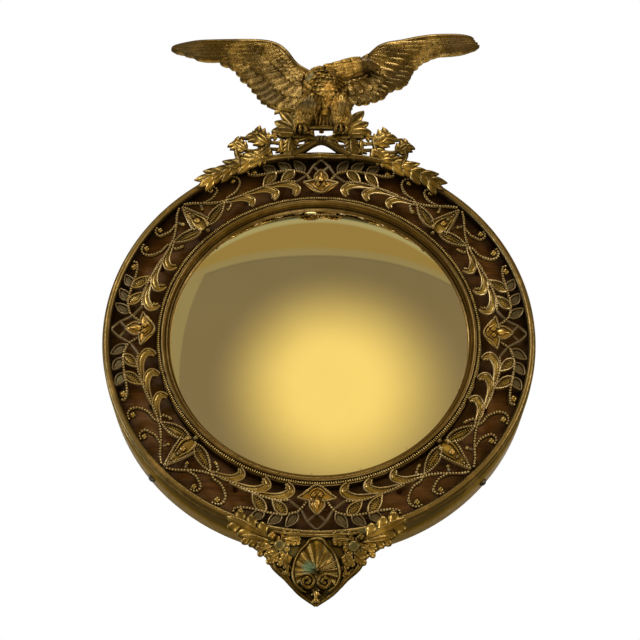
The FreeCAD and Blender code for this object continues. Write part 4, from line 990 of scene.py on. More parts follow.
for index, name in enumerate(("top", "right", "bottom", "left")):
    degrees = QUARTER_TURN * index
    flower.turned(degrees).piece("flower_boss_" + name, leaf_brass, "aged_brass", ["flower_" + name], 35.0)
    flower_wire.turned(degrees).piece("flower_wire_" + name, cream_brass, "aged_brass", [])

# Crest spray: one openwork casting over the top of the rim, with a knot of two stems, lobed leaves
# and a run of leaflets down each side, fans of quills and a bar that the eagle stands on. Two lugs
# reach back over the hoop and are screwed to it.

CAST_GAP = 0.2
CAST_BACK_Y = BEAD_Y - BEAD_R - CAST_GAP
CREST_HALF = 68.5
CREST_LAP = 23.7
CREST_FOOT_Z = RIM_R - CREST_LAP
CREST_RISE = 56.0
CREST_LUG_DEGREES = (16.0, -16.0)
LUG_HALF_DEGREES = 2.2
LUG_THICK = 2.0
LUG_BACK = 4.5
LUG_FRONT_Y = CAST_BACK_Y - 1.5
LUG_STEPS = 7
RUN_LEAF_LENGTH = 11.2
RUN_LEAF_WIDTH = 5.4
LEAF_THICK = 0.8
LEAF_GROOVE = 0.35
QUILL_WIDTH = 6.0
PERCH_DROP = 3.4
PERCH_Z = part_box("eagle_body")[0][2] / MM - PERCH_DROP
PERCH_MID = 1.2
PERCH_HALF = 12
PERCH_STAND = 3.2
PERCH_STEPS = 14
STEM_STAND = 1.5
WRAP_R = 1.0
LOBE_FIRST = 0.08
LOBE_RUN = 0.52
LOBE_BEND = 0.10
END_LOBE = 0.46


def lug(casting, degrees):
    """Add a curved tongue that lies on the hoop behind a casting."""
    low = RIM_R + SEAT_GAP
    high = RIM_R + LUG_THICK
    points = []
    for turn_share in np.linspace(-1, 1, LUG_STEPS):
        angle = math.radians(degrees + turn_share * LUG_HALF_DEGREES)
        for r, y in ((low, LUG_FRONT_Y), (high, LUG_FRONT_Y), (high, -LUG_BACK), (low, -LUG_BACK)):
            points.append((r * math.sin(angle), y, r * math.cos(angle)))
    last = len(points) - 1
    casting.add(points, grid_faces(LUG_STEPS, 4, True) + [(0, 1, 2, 3), (last, last - 1, last - 2, last - 3)])


def crest_point(place, side=1, stand=0.0):
    """Return a crest point from its shares of the half span and of the rise."""
    return np.array((side * place[0] * CREST_HALF, CAST_BACK_Y - stand, CREST_FOOT_Z + place[1] * CREST_RISE))


def heading(degrees, side):
    """Return the way at an angle above the outward one, on one side of a casting."""
    angle = math.radians(degrees)
    return np.array((side * math.cos(angle), 0.0, math.sin(angle)))


def leaflet(casting, base, tip, width, rise, shape, lift, bend=0.0):
    """Add a small grooved leaf."""
    blade(
        casting, base, tip, width, rise, shape, lift=lift, bend=bend,
        thick=LEAF_THICK, groove=LEAF_GROOVE, rows=14, columns=7,
    )


def lobed_leaf(casting, base, tip, width, pairs, stand=1.0, rise=1.1, shape=leaf_width, lobe=0.40):
    """Add a leaf with lobes of a shape in pairs along its midrib and one at its tip."""
    along = tip - base
    length = np.linalg.norm(along)
    way = along / length
    aside = np.cross(way, FRONT)
    for pair in range(pairs):
        t = LOBE_FIRST + LOBE_RUN * pair / max(pairs - 1, 1)
        root = base + along * t
        reach = width / 2 * (0.8 + 0.3 * math.sin(math.pi * (0.2 + t)))
        for side in (-1, 1):
            end = root + aside * side * reach + way * (length * 0.12 + reach * 0.55)
            leaflet(casting, root, end, width * lobe, rise, shape, (stand, stand * 0.5), -LOBE_BEND * side)
    blade(
        casting, base, tip, width * END_LOBE, rise * 1.2, shape, lift=(stand + 0.5, stand * 0.6),
        thick=LEAF_THICK, groove=LEAF_GROOVE,
    )


def quill_width(t):
    """Even sides and a short pointed tip."""
    return min(1.0, 0.6 + 1.6 * t) * (1.0 - max(t - 0.74, 0.0) / 0.26) ** 0.55


# points of a stem, as shares of the half span and of the rise, and its radii
crest_stem_shares = (
    (((-0.02, 0.335), (0.12, 0.325), (0.24, 0.33)), (1.9, 2.0, 1.7)),
    (((-0.03, 0.55), (0.08, 0.475), (0.16, 0.40), (0.24, 0.335)), (2.2, 2.4, 2.6)),
    (((-0.03, 0.505), (0.10, 0.55), (0.22, 0.575), (0.34, 0.585)), (2.2, 2.3, 2.6)),
    (
        ((0.22, 0.33), (0.36, 0.31), (0.50, 0.265), (0.64, 0.205), (0.78, 0.135), (0.92, 0.03)),
        (2.0, 1.9, 1.7, 1.5),
    ),
    (((0.27, 0.50), (0.36, 0.49), (0.46, 0.495)), (1.1,)),
    (((0.27, 0.415), (0.36, 0.41), (0.45, 0.415)), (1.1,)),
    (((0.44, 0.52), (0.455, 0.42), (0.46, 0.31)), (2.0, 1.7, 2.2)),
    (((0.47, 0.535), (0.58, 0.535), (0.68, 0.545)), (1.1,)),
    (((0.46, 0.42), (0.55, 0.385), (0.63, 0.395), (0.69, 0.45)), (1.4, 1.2, 1.5)),
    (((0.50, 0.325), (0.60, 0.305), (0.68, 0.335)), (1.1,)),
    (((0.70, 0.46), (0.70, 0.34), (0.655, 0.225)), (1.6, 1.4)),
)
# base, tip, width and pairs of lobes
crest_leaf_shares = (
    ((0.25, 0.575), (0.27, 0.275), 9.5, 4), ((0.33, 0.54), (0.34, 0.34), 6.0, 2),
    ((0.44, 0.46), (0.58, 0.635), 12.5, 3), ((0.07, 0.50), (0.20, 0.42), 5.0, 2),
    ((0.10, 0.54), (0.24, 0.50), 4.6, 2), ((0.36, 0.58), (0.47, 0.545), 6.0, 2),
    ((0.62, 0.38), (0.74, 0.505), 10.0, 3), ((0.41, 0.41), (0.56, 0.27), 11.5, 3),
    ((0.86, 0.08), (1.0, -0.03), 6.0, 2),
)
# places of the leaves in the run along the rim, each with the way that it points, in degrees
crest_run_shares = (
    ((0.50, 0.285), -8.0), ((0.58, 0.250), -22.0), ((0.66, 0.215), -17.0), ((0.735, 0.170), -34.0),
    ((0.81, 0.125), -27.0), ((0.88, 0.070), -42.0),
)
RUN_SPREAD = (-26.0, 30.0, 0.0)
FAN_FOOT = (0.20, 0.62)
# degrees above the outward way and length of each quill in a fan
fan_quills = (
    (-12.0, 12.0), (4.0, 15.2), (17.0, 12.2), (30.0, 15.6), (43.0, 13.2), (56.0, 19.5), (72.0, 14.2),
    (90.0, 11.0),
)
crest_brass = aged_brass(
    "crest_brass", (0.018, 0.013, 0.006), (0.088, 0.062, 0.023), (0.46, 0.315, 0.10),
    green=0.5, rough=0.26, crevice=2.2, wear=0.52,
)
crest = Casting()
# ends of the leaf under each foot, from the middle of the perch
grip_ends = ((13.0, -3.2), (5.2, -2.4))
# height and stand of the knot's windings
wrap_shares = ((0.475, 1.6), (0.522, 4.2), (0.57, 1.6))
for side in (-1, 1):
    for points, radii in crest_stem_shares:
        path = curve([crest_point(place, side, STEM_STAND) for place in points])
        tube(crest, path, radii, 10, flat=0.9)
    for base, tip, width, pairs in crest_leaf_shares:
        lobed_leaf(crest, crest_point(base, side), crest_point(tip, side), width, pairs, 1.4)
    for place, degrees in crest_run_shares:
        foot = crest_point(place, side)
        for spread_degrees in RUN_SPREAD:
            tip = foot + heading(degrees + spread_degrees, side) * RUN_LEAF_LENGTH
            stand = 2.0 if spread_degrees == 0.0 else 1.2
            leaflet(crest, foot, tip, RUN_LEAF_WIDTH, 1.1, leaf_width, (stand, 0.5))
    for degrees, length in fan_quills:
        foot = crest_point(FAN_FOOT, side)
        blade(
            crest, foot, foot + heading(degrees, side) * length, QUILL_WIDTH, 1.0, quill_width,
            lift=(1.2, 0.3), thick=0.9, bend=-0.05 * side, groove=LEAF_GROOVE, rows=20, columns=7,
        )
    grip = []
    for across, up in grip_ends:
        grip.append(np.array((PERCH_MID + side * across, CAST_BACK_Y - 0.4, PERCH_Z + up)))
    lobed_leaf(crest, *grip, 7.0, 2, 1.2)
lobed_leaf(crest, crest_point((-0.18, 0.88)), crest_point((-0.43, 0.93)), 8.0, 2, 1.0)
for across in (-2.0, 0.0, 2.0):
    wrap = curve([crest_point((0.0, height), 1, stand) for height, stand in wrap_shares])
    tube(crest, [point + np.array((across, 0.0, 0.0)) for point in wrap], [WRAP_R])
perch_path = []
for across in np.linspace(-PERCH_HALF, PERCH_HALF, PERCH_STEPS):
    perch_path.append(np.array((PERCH_MID + across, CAST_BACK_Y - PERCH_STAND, PERCH_Z)))
tube(crest, perch_path, (1.7, 1.9, 1.75, 1.9, 1.75, 1.9, 1.7), 12)
for degrees in CREST_LUG_DEGREES:
    lug(crest, degrees)
crest.piece("crest_foliage", crest_brass, "aged_brass", ["crest_spray"])
hoop_screws("crest_screw_heads", CREST_LUG_DEGREES, RIM_R + SEAT_GAP + LUG_THICK, ["crest_screws"])

# Eagle wings: two thin castings soldered to the body, each with a row of long flight feathers,
# coverts and three rows of small feathers over them, and a rounded leading edge.

EAGLE_FOOT_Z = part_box("eagle_body")[0][2] / MM
EAGLE_RISE = 68.0
ROOT_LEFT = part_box("eagle_wing_left")[1][0] / MM
ROOT_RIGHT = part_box("eagle_wing_right")[0][0] / MM
SPAN_LEFT = ROOT_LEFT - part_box("eagle_wing_left")[0][0] / MM
SPAN_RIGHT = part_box("eagle_wing_right")[1][0] / MM - ROOT_RIGHT

# shares of a wing's span and of the eagle's rise: the leading edge, then tip and base of each feather
left_top_shares = (
    (-0.02, 0.575), (0.016, 0.604), (0.069, 0.648), (0.107, 0.697), (0.138, 0.753), (0.169, 0.809),
    (0.216, 0.865), (0.269, 0.896), (0.330, 0.911), (0.414, 0.916), (0.527, 0.914), (0.663, 0.908),
    (0.799, 0.898), (0.904, 0.870), (0.971, 0.842), (0.992, 0.815),
)
left_flight_shares = (
    ((0.965, 0.825), (0.33, 0.86)), ((1.005, 0.793), (0.34, 0.845)), ((0.925, 0.762), (0.35, 0.815)),
    ((0.84, 0.722), (0.35, 0.775)), ((0.64, 0.655), (0.34, 0.735)), ((0.57, 0.615), (0.32, 0.69)),
    ((0.52, 0.545), (0.29, 0.65)), ((0.487, 0.475), (0.26, 0.60)), ((0.435, 0.42), (0.235, 0.56)),
    ((0.40, 0.355), (0.21, 0.52)), ((0.36, 0.285), (0.185, 0.475)), ((0.33, 0.235), (0.155, 0.43)),
    ((0.285, 0.20), (0.12, 0.39)), ((0.21, 0.175), (0.085, 0.355)), ((0.14, 0.158), (0.055, 0.325)),
    ((0.065, 0.155), (0.025, 0.30)),
)
left_covert_shares = (
    ((0.635, 0.785), (0.29, 0.83)), ((0.585, 0.72), (0.26, 0.785)), ((0.485, 0.645), (0.225, 0.735)),
    ((0.41, 0.575), (0.185, 0.67)), ((0.35, 0.49), (0.15, 0.595)), ((0.285, 0.41), (0.11, 0.53)),
    ((0.225, 0.33), (0.075, 0.47)), ((0.135, 0.27), (0.04, 0.41)), ((0.05, 0.25), (0.01, 0.385)),
)
left_median_shares = (
    ((0.42, 0.785), (0.245, 0.80)), ((0.35, 0.72), (0.205, 0.755)), ((0.285, 0.645), (0.165, 0.70)),
    ((0.235, 0.575), (0.125, 0.675)), ((0.185, 0.50), (0.095, 0.61)), ((0.135, 0.435), (0.06, 0.545)),
    ((0.075, 0.375), (0.03, 0.50)),
)
right_top_shares = (
    (0.0, 0.66), (0.10, 0.70), (0.185, 0.743), (0.218, 0.789), (0.251, 0.834), (0.283, 0.871),
    (0.316, 0.892), (0.356, 0.909), (0.446, 0.931), (0.535, 0.961), (0.609, 0.980), (0.682, 0.994),
    (0.804, 1.002), (0.886, 0.998), (0.945, 0.982), (0.972, 0.955),
)
right_flight_shares = (
    ((0.962, 0.952), (0.40, 0.88)), ((0.99, 0.925), (0.40, 0.865)), ((1.008, 0.90), (0.40, 0.85)),
    ((1.02, 0.872), (0.40, 0.835)), ((0.975, 0.85), (0.40, 0.815)), ((0.81, 0.83), (0.39, 0.785)),
    ((0.735, 0.805), (0.38, 0.755)), ((0.66, 0.76), (0.365, 0.72)), ((0.60, 0.715), (0.35, 0.68)),
    ((0.565, 0.66), (0.33, 0.645)), ((0.525, 0.59), (0.305, 0.605)), ((0.505, 0.53), (0.28, 0.565)),
    ((0.485, 0.475), (0.26, 0.53)), ((0.45, 0.435), (0.235, 0.50)), ((0.385, 0.405), (0.21, 0.47)),
    ((0.335, 0.355), (0.185, 0.435)), ((0.315, 0.315), (0.16, 0.41)), ((0.265, 0.28), (0.135, 0.39)),
    ((0.20, 0.245), (0.11, 0.37)), ((0.15, 0.235), (0.08, 0.35)), ((0.08, 0.21), (0.045, 0.33)),
    ((0.03, 0.205), (0.02, 0.31)),
)
right_covert_shares = (
    ((0.675, 0.87), (0.34, 0.845)), ((0.625, 0.81), (0.33, 0.80)), ((0.55, 0.745), (0.295, 0.76)),
    ((0.49, 0.675), (0.27, 0.70)), ((0.435, 0.595), (0.24, 0.645)), ((0.39, 0.515), (0.20, 0.595)),
    ((0.31, 0.44), (0.165, 0.545)), ((0.24, 0.37), (0.12, 0.50)), ((0.15, 0.315), (0.075, 0.455)),
    ((0.065, 0.285), (0.03, 0.42)),
)
right_median_shares = (
    ((0.46, 0.83), (0.295, 0.80)), ((0.40, 0.765), (0.26, 0.75)), ((0.35, 0.69), (0.22, 0.695)),
    ((0.30, 0.62), (0.18, 0.66)), ((0.245, 0.545), (0.15, 0.61)), ((0.175, 0.485), (0.105, 0.565)),
    ((0.10, 0.44), (0.065, 0.53)), ((0.03, 0.41), (0.02, 0.50)),
)
WING_FEATHER_WIDTH = 7.4
FEATHER_RISE = 0.8
FEATHER_THICK = 0.9
COVERTS = 12
SMALL_FEATHERS = 11
SHOULDER = ((-0.02, 0.45), (0.26, 0.80))
SHOULDER_STAND = 0.5
EDGE_STAND_OFF = 1.4
EDGE_RADII = (1.8, 2.2, 2.6, 2.8, 2.6, 2.2, 1.4)
# Patches: darker spots at both wing tips and on the lower feathers, and a gold spot on the coverts by the
# left shoulder that is a painted highlight.
wing_patches = (
    ((-80.0, -32.0, 187.0), 13.0, 0.45, (0.085, 0.066, 0.040)),
    ((-30.0, -32.0, 154.0), 8.0, 0.4, (0.085, 0.066, 0.034)),
    ((-15.0, -32.0, 168.0), 6.5, 0.35, (0.62, 0.40, 0.11)),
    ((82.0, -32.0, 193.0), 11.0, 0.4, (0.092, 0.058, 0.030)),
    ((45.0, -32.0, 166.0), 8.0, 0.35, (0.075, 0.060, 0.034)),
)
wing_brass = aged_brass(
    "wing_brass", (0.018, 0.011, 0.005), (0.096, 0.066, 0.026), (0.61, 0.425, 0.155),
    green=0.35, rough=0.23, crevice=1.6, wear=0.5, patches=wing_patches,
)


def close_feathers(shares, count):
    """Return feathers set evenly along the listed ones, with tips that are a little uneven."""
    table = np.array(shares).reshape(len(shares), 4)
    along = np.linspace(0, len(shares) - 1, count)
    feathers = []
    for index, place in enumerate(along):
        row = np.array([np.interp(place, range(len(shares)), table[:, column]) for column in range(4)])
        tip, base = row[:2], row[2:]
        ragged = 0.05 * math.sin(index * 2.4) ** 2 * min(index / 6.0, 1.0)
        feathers.append((tip - (tip - base) * ragged, base))
    return feathers


def over_feathers(feathers, tip_share, base_share):
    """Return shorter feathers that lie over the roots of the given ones."""
    return [(base + (tip - base) * tip_share, base + (tip - base) * base_share) for tip, base in feathers]


def eagle_wing(side, root, span, top_shares, flight_shares, covert_shares, median_shares):
    """Make one wing from its feather rows, laid from the lowest row up."""

    def place(share, stand=0.0):
        x = root + side * share[0] * span
        return np.array((x, CAST_BACK_Y - stand, EAGLE_FOOT_Z + share[1] * EAGLE_RISE))

    small = close_feathers(median_shares, SMALL_FEATHERS)
    # feathers, breadth and stand of each row
    rows = (
        (np.array(flight_shares), 0.92, 0.0),
        (close_feathers(covert_shares, COVERTS), 0.92, 1.2),
        (small, 0.82, 2.2),
        (over_feathers(small, 0.62, 0.10), 0.68, 2.9),
        (over_feathers(small, 0.36, 0.04), 0.52, 3.4),
    )
    wing = Casting()
    for feathers, breadth, stand in rows:
        for tip, base in feathers:
            width = WING_FEATHER_WIDTH * breadth
            blade(
                wing, place(base, stand), place(tip, stand), width, FEATHER_RISE, feather_width,
                bend=0.04 * side, lift=(0.4, 0.2), roll=-0.8 * side,
                thick=FEATHER_THICK, groove=0.15, barbs=1.0,
            )
    shoulder = [place(share, SHOULDER_STAND) for share in SHOULDER]
    blade(wing, *shoulder, WING_FEATHER_WIDTH, FEATHER_RISE, quill_width, thick=FEATHER_THICK)
    edge = curve([place(share, EDGE_STAND_OFF) for share in top_shares], 8)
    sizes = spread(EDGE_RADII, len(edge))
    tube(wing, [point - np.array((0.0, 0.0, size)) for point, size in zip(edge, sizes)], EDGE_RADII, 10, 0.5)
    return wing


left_wing = eagle_wing(
    -1, ROOT_LEFT, SPAN_LEFT, left_top_shares, left_flight_shares, left_covert_shares, left_median_shares
)
left_wing.piece("wing_plumage_left", wing_brass, "aged_brass", ["eagle_wing_left"])
right_wing = eagle_wing(
    1, ROOT_RIGHT, SPAN_RIGHT, right_top_shares, right_flight_shares, right_covert_shares, right_median_shares
)
right_wing.piece("wing_plumage_right", wing_brass, "aged_brass", ["eagle_wing_right"])

# Eagle body: a casting with a scaled chest, feathered thighs, a ribbed tail and clawed feet on
# the bar, and its head turned to the right. One screw comes up through the bar into the tail.

TRUNK_X = 1.5
TRUNK_HALF_WIDTH = 12.2
TRUNK_RISE = 12.5
TRUNK_ROWS = 14
TRUNK_COLUMNS = 19
PLUME_ROWS = 10
PLUME_TOP = 0.56
PLUME_SPACING = 0.042
PLUME_DEGREES = 18.0
PLUME_WIDTH = 5.0
TUFT_DEGREES = 22.0
TUFT_WIDTH = 2.6
TUFT_ROWS = (0, 4, 8, 12)
TAIL_WIDTH = 3.6
TAIL_TOP = 21.0
TAIL_DROP = 2.8
HACKLE_DEGREES = 26.0
HACKLE_WIDTH = 3.9
# height share, and shares of the half width and of the chest's depth
trunk_shares = (
    (0.06, 0.36, 0.45), (0.14, 0.66, 0.72), (0.24, 0.92, 0.96), (0.34, 1.0, 1.0), (0.44, 0.96, 0.86),
    (0.55, 0.74, 0.55),
)
# Patches: verdigris at the left of the upper chest, darker spots low on the chest and between the thighs, an
# orange gold spot on the chest that is partly rubbed gold and partly a painted highlight, and painted shade
# over the head.
body_patches = (
    ((-7.5, -40.0, 160.0), 5.0, 0.6, (0.10, 0.17, 0.14)),
    ((-8.5, -41.0, 139.0), 6.5, 0.62, (0.085, 0.078, 0.055)),
    ((12.0, -41.0, 138.0), 5.5, 0.55, (0.075, 0.062, 0.030)),
    ((3.0, -33.5, 135.0), 5.5, 0.6, (0.050, 0.042, 0.020)),
    ((4.0, -43.5, 150.0), 4.0, 0.5, (0.62, 0.34, 0.075)),
    ((4.0, -39.5, 142.0), 2.6, 0.6, (0.74, 0.44, 0.13)),
    ((26.0, -38.0, 170.0), 9.0, 0.75, (0.050, 0.031, 0.012)),
)
body_brass = aged_brass(
    "body_brass", (0.022, 0.015, 0.006), (0.126, 0.082, 0.025), (0.66, 0.425, 0.12),
    green=0.5, rough=0.26, crevice=1.8, wear=0.58, patches=body_patches,
)


def trunk_point(height_share, degrees, stand=0.0):
    """Return a point on the chest at a share of the rise and an angle from the front."""
    heights, widths, rises = zip(*trunk_shares)
    half_width = np.interp(height_share, heights, widths) * TRUNK_HALF_WIDTH + stand
    rise = np.interp(height_share, heights, rises) * TRUNK_RISE + stand
    angle = math.radians(degrees)
    height = EAGLE_FOOT_Z + height_share * EAGLE_RISE
    return np.array((TRUNK_X + half_width * math.sin(angle), CAST_BACK_Y - rise * math.cos(angle), height))


def plume(casting, base, tip, width, out):
    """Add a small feather that lies on a round part and stands off along the outward way."""
    out = out / np.linalg.norm(out)
    blade(
        casting, base, tip, width, 0.7, quill_width, out, lift=(0.0, 0.8), thick=0.5, groove=0.1,
        rows=10, columns=7, barbs=1.0,
    )


eagle = Casting()
trunk_heights = np.linspace(trunk_shares[0][0], trunk_shares[-1][0], TRUNK_ROWS)
trunk_angles = np.linspace(-90, 90, TRUNK_COLUMNS)
trunk_grid = [trunk_point(share, angle) for share in trunk_heights for angle in trunk_angles]
trunk_last = TRUNK_COLUMNS - 1
trunk_faces = grid_faces(TRUNK_ROWS, TRUNK_COLUMNS)
trunk_faces.append(tuple(range(trunk_last, -1, -1)))
trunk_faces.append(tuple(range(len(trunk_grid) - TRUNK_COLUMNS, len(trunk_grid))))
for row in range(TRUNK_ROWS - 1):
    low = row * TRUNK_COLUMNS
    high = low + TRUNK_COLUMNS
    trunk_faces.append((low + trunk_last, low, high, high + trunk_last))
eagle.add(trunk_grid, trunk_faces)
for row in range(PLUME_ROWS):
    share = PLUME_TOP - row * PLUME_SPACING
    for step in range(-4, 5):
        uneven = math.sin(row * 12.9 + step * 7.7)
        degrees = (step + 0.5 * (row % 2)) * PLUME_DEGREES + uneven * 4.0
        out = trunk_point(share, degrees, 3.0) - trunk_point(share, degrees, 0.0)
        tip = trunk_point(share - 0.082 - 0.012 * uneven, degrees * 0.98, 0.3)
        plume(eagle, trunk_point(share, degrees, -0.2), tip, PLUME_WIDTH, out)

# Thighs with long tufts, legs and claws: size, then how far across, forward and up the leg's line runs
thigh_places = (
    (1.1, (
        (-5.6, 7.6, 17.0), (-6.0, 9.2, 11.5), (-7.0, 8.8, 6.5),
        (-8.8, 7.6, 1.5), (-10.8, 6.4, -2.6), (-12.2, 5.8, -5.6),
    )),
    (0.9, (
        (10.4, 7.6, 16.5), (11.0, 9.2, 11.5), (11.2, 8.8, 6.5),
        (11.3, 7.6, 1.5), (11.2, 6.4, -2.6), (11.2, 5.8, -5.0),
    )),
)
toe_places = ((0.0, -0.4, 1.2), (2.5, -1.9, 0.2), (3.2, -1.8, -2.4), (2.7, -0.4, -5.0))
for size, places in thigh_places:
    thigh_radii = np.array((3.2, 5.0, 5.4, 4.4, 3.0, 1.9)) * size
    thigh_line = []
    for x, front, height in places:
        thigh_line.append(np.array((x, CAST_BACK_Y - front, EAGLE_FOOT_Z + height)))
    thigh_path = curve(thigh_line, 4)
    tube(eagle, thigh_path, thigh_radii, 14, 0.85)
    sizes = spread(thigh_radii, len(thigh_path))
    for row, index in enumerate(TUFT_ROWS):
        end = min(index + 10, len(thigh_path) - 1)
        for step in range(-4, 5):
            angle = math.radians((step + 0.5 * (row % 2)) * TUFT_DEGREES)
            out = np.array((math.sin(angle), -math.cos(angle) * 0.85, 0.25 if row == 0 else 0.0))
            base = thigh_path[index] + out * (sizes[index] - 0.3)
            plume(eagle, base, thigh_path[end] + out * (sizes[end] + 0.6), TUFT_WIDTH, out)
    foot = thigh_path[-1]
    for toe in (-1, 0, 1):
        toe_path = curve([foot + np.array((toe * across, front, up)) for across, front, up in toe_places], 4)
        tube(eagle, toe_path, (1.5, 1.7, 1.1, 1.3, 0.4))

# Tail feathers between the legs
for step in range(-4, 5):
    top = np.array((TRUNK_X + step * 1.6, CAST_BACK_Y - 3.2, EAGLE_FOOT_Z + TAIL_TOP))
    foot = np.array((TRUNK_X - 0.5 + step * 2.3, CAST_BACK_Y - 1.8, EAGLE_FOOT_Z - TAIL_DROP))
    stand = 1.0 - 0.15 * abs(step)
    blade(
        eagle, top, foot, TAIL_WIDTH, 0.9, feather_width, lift=(stand, stand), thick=0.8, groove=0.0,
        rows=16, columns=7, barbs=1.0,
    )

# Neck, head and hooked beak, turned to the right over the shoulder
HEAD_REACH = 29.5
HEAD_R = 4.6
HEAD_Y = CAST_BACK_Y - 6.2
# shares of the head's reach and of the eagle's rise, and size, along the neck
head_shares = (
    (0.02, 0.435, 1.5), (0.25, 0.495, 1.14), (0.46, 0.54, 1.06), (0.66, 0.570, 1.06),
    (0.83, 0.576, 1.0), (0.95, 0.556, 0.68),
)
head_line = []
for reach, height, size in head_shares:
    head_line.append(np.array((TRUNK_X + reach * HEAD_REACH, HEAD_Y, EAGLE_FOOT_Z + height * EAGLE_RISE)))
crown, face = head_line[-2:]
head_path = curve(head_line, 5)
head_sizes = [size * HEAD_R for reach, height, size in head_shares]
tube(eagle, head_path, head_sizes, 16, 0.9)
neck_sizes = spread(head_sizes, len(head_path))
for row, index in enumerate(TUFT_ROWS):
    for step in range(-4, 5):
        uneven = math.sin(row * 5.3 + step * 9.1)
        angle = math.radians((step + 0.5 * (row % 2) + uneven * 0.25) * HACKLE_DEGREES)
        out = np.array((-0.25 * math.sin(angle), -math.cos(angle), math.sin(angle)))
        out = out / np.linalg.norm(out)
        base = head_path[index + 5] + out * (neck_sizes[index + 5] * 0.93)
        tip = head_path[max(index - 1, 0)] + out * (neck_sizes[index] * 0.96 + 0.1 * uneven)
        plume(eagle, base, tip, HACKLE_WIDTH + 0.6 * uneven, out)
beak = [crown + np.array((0.5, -0.6, 0.4))]
for place in ((1.0, -0.6, 0.4), (3.6, -0.6, -1.0), (4.4, -0.6, -4.2)):
    beak.append(face + np.array(place))
tube(eagle, curve(beak, 5), (2.9, 2.6, 1.9, 1.0, 0.25), 12, 0.75)
jaw = curve([crown + np.array((0.8, -0.5, -1.8)), face + np.array((2.0, -0.6, -2.4))], 5)
tube(eagle, jaw, (1.8, 1.3, 0.5), 10, 0.8)
brow = curve([crown + np.array((-1.6, -3.5, 2.1)), face + np.array((0.4, -2.6, 1.4))], 5)
tube(eagle, brow, (0.45, 0.75, 0.45))
ball(eagle, crown + np.array((1.0, -3.4, 0.5)), (0.85, 0.6, 0.85))
eagle.piece("eagle_figure", body_brass, "aged_brass", ["eagle_body"])
PIN_HEAD_R = 1.5
PIN_HEAD_RISE = 0.6
PIN_SHANK = 2.4
eagle_pin = Casting()
pin_head = np.array((0.0, CAST_BACK_Y - 1.6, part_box("eagle_screw")[0][2] / MM + PIN_HEAD_RISE))
screw_head(eagle_pin, pin_head, (0.0, 0.0, -1.0), (1.0, 0.0, 0.0), PIN_HEAD_R, PIN_HEAD_RISE, PIN_SHANK)
eagle_pin.piece("eagle_screw_head", leaf_brass, "dark_steel", ["eagle_screw"], 40.0)

# Shell drop: a pointed casting under the rim, with a ribbed shell in a corded frame, two curled
# volutes, round flowers and acanthus leaves to each side. Two lugs are screwed to the hoop.

DROP_HALF = 45.0
DROP_TOP_R = RIM_R - 1.1
DROP_HANG = 35.9
DROP_LUG_DEGREES = (173.0, 187.0)
MIRRORED = np.array((-1.0, 1.0, 1.0))
PLATE_THICK = 1.6
CORD_R = 0.9
CORD_WIRE_R = 0.42
LEAF_STAND = 0.8
drop_edge_shares = (
    (0.985, -0.241), (0.90, -0.086), (0.80, 0.068), (0.665, 0.206), (0.535, 0.331),
    (0.455, 0.499), (0.31, 0.666), (0.178, 0.845), (0.0, 1.0),
)


def drop_point(place, side=1, stand=0.0):
    """Return a drop point from its shares of the half width and of the hang below the top arc."""
    return np.array((side * place[0] * DROP_HALF, CAST_BACK_Y - stand, -DROP_TOP_R - place[1] * DROP_HANG))


def plate(casting, outline, thick):
    """Add a flat plate inside an outline at the castings' back plane."""
    flat = [Vector((point[0], point[2], 0.0)) for point in outline]
    triangles = tessellate_polygon([flat])
    count = len(outline)
    front = [point + FRONT * thick for point in outline]
    faces = [tuple(face) for face in triangles]
    faces += [tuple(index + count for index in reversed(face)) for face in triangles]
    for index in range(count):
        after = (index + 1) % count
        faces.append((index, after, after + count, index + count))
    casting.add(list(outline) + front, faces)


TEAL = (0.12, 0.24, 0.19)
DULL_GREEN = (0.042, 0.050, 0.026)
drop_patches = (
    ((-3.6, -32.8, -131.4), 4.2, 0.85, TEAL),
    ((-18.2, -33.7, -120.8), 3.9, 0.95, DULL_GREEN),
    ((18.2, -33.7, -120.8), 3.9, 0.95, DULL_GREEN),
)
drop_brass = aged_brass(
    "drop_brass", (0.020, 0.015, 0.006), (0.115, 0.079, 0.026), (0.52, 0.36, 0.115),
    green=0.9, rough=0.27, crevice=1.8, wear=0.53, patches=drop_patches,
)
ground_brass = aged_brass(
    "ground_brass", (0.014, 0.010, 0.005), (0.060, 0.041, 0.015), (0.26, 0.175, 0.055),
    green=0.8, rough=0.36, crevice=3.0, wear=0.45,
)
drop = Casting()
right_edge = curve([drop_point(place) for place in drop_edge_shares], 4)
left_edge = [point * MIRRORED for point in reversed(right_edge)]
top_arc = []
corner = math.degrees(math.asin(right_edge[0][0] / DROP_TOP_R))
for degrees in np.linspace(-corner, corner, 24)[1:-1]:
    angle = math.radians(degrees)
    top_arc.append(np.array((DROP_TOP_R * math.sin(angle), CAST_BACK_Y, -DROP_TOP_R * math.cos(angle))))
ground = Casting()
plate(ground, right_edge + left_edge[1:] + top_arc, PLATE_THICK)
ground.piece("drop_ground", ground_brass, "aged_brass", [])
frame_wire = Casting()
left_bead = Casting()
for side in (-1, 1):
    edge = [point * (side, 1, 1) + FRONT * PLATE_THICK for point in right_edge]
    tube(drop, edge, [CORD_R])
SHELL_HINGE = drop_point((0.0, 0.537))
SHELL_FRAME_STAND = 4.4
ROSETTE_PLACE = (0.404, 0.185)
DROP_BEAD_PLACE = (0.482, 0.06)
VOLUTE_STEPS = 32
RIBBON_STAND = 2.0
shell_edge_shares = (
    (0.0, 0.094), (0.071, 0.120), (0.109, 0.189), (0.178, 0.284), (0.222, 0.396), (0.249, 0.526),
    (0.244, 0.646), (0.207, 0.755), (0.133, 0.833), (0.0, 0.80),
)
SHELL_RIBS = 17
SHELL_STEPS = 168
SHELL_ROWS = 12
half_edge = [drop_point(place) - SHELL_HINGE for place in shell_edge_shares]
edge_angles = [math.atan2(point[0], point[2]) for point in half_edge]
edge_reach = [math.hypot(point[0], point[2]) for point in half_edge]
shell_points = []
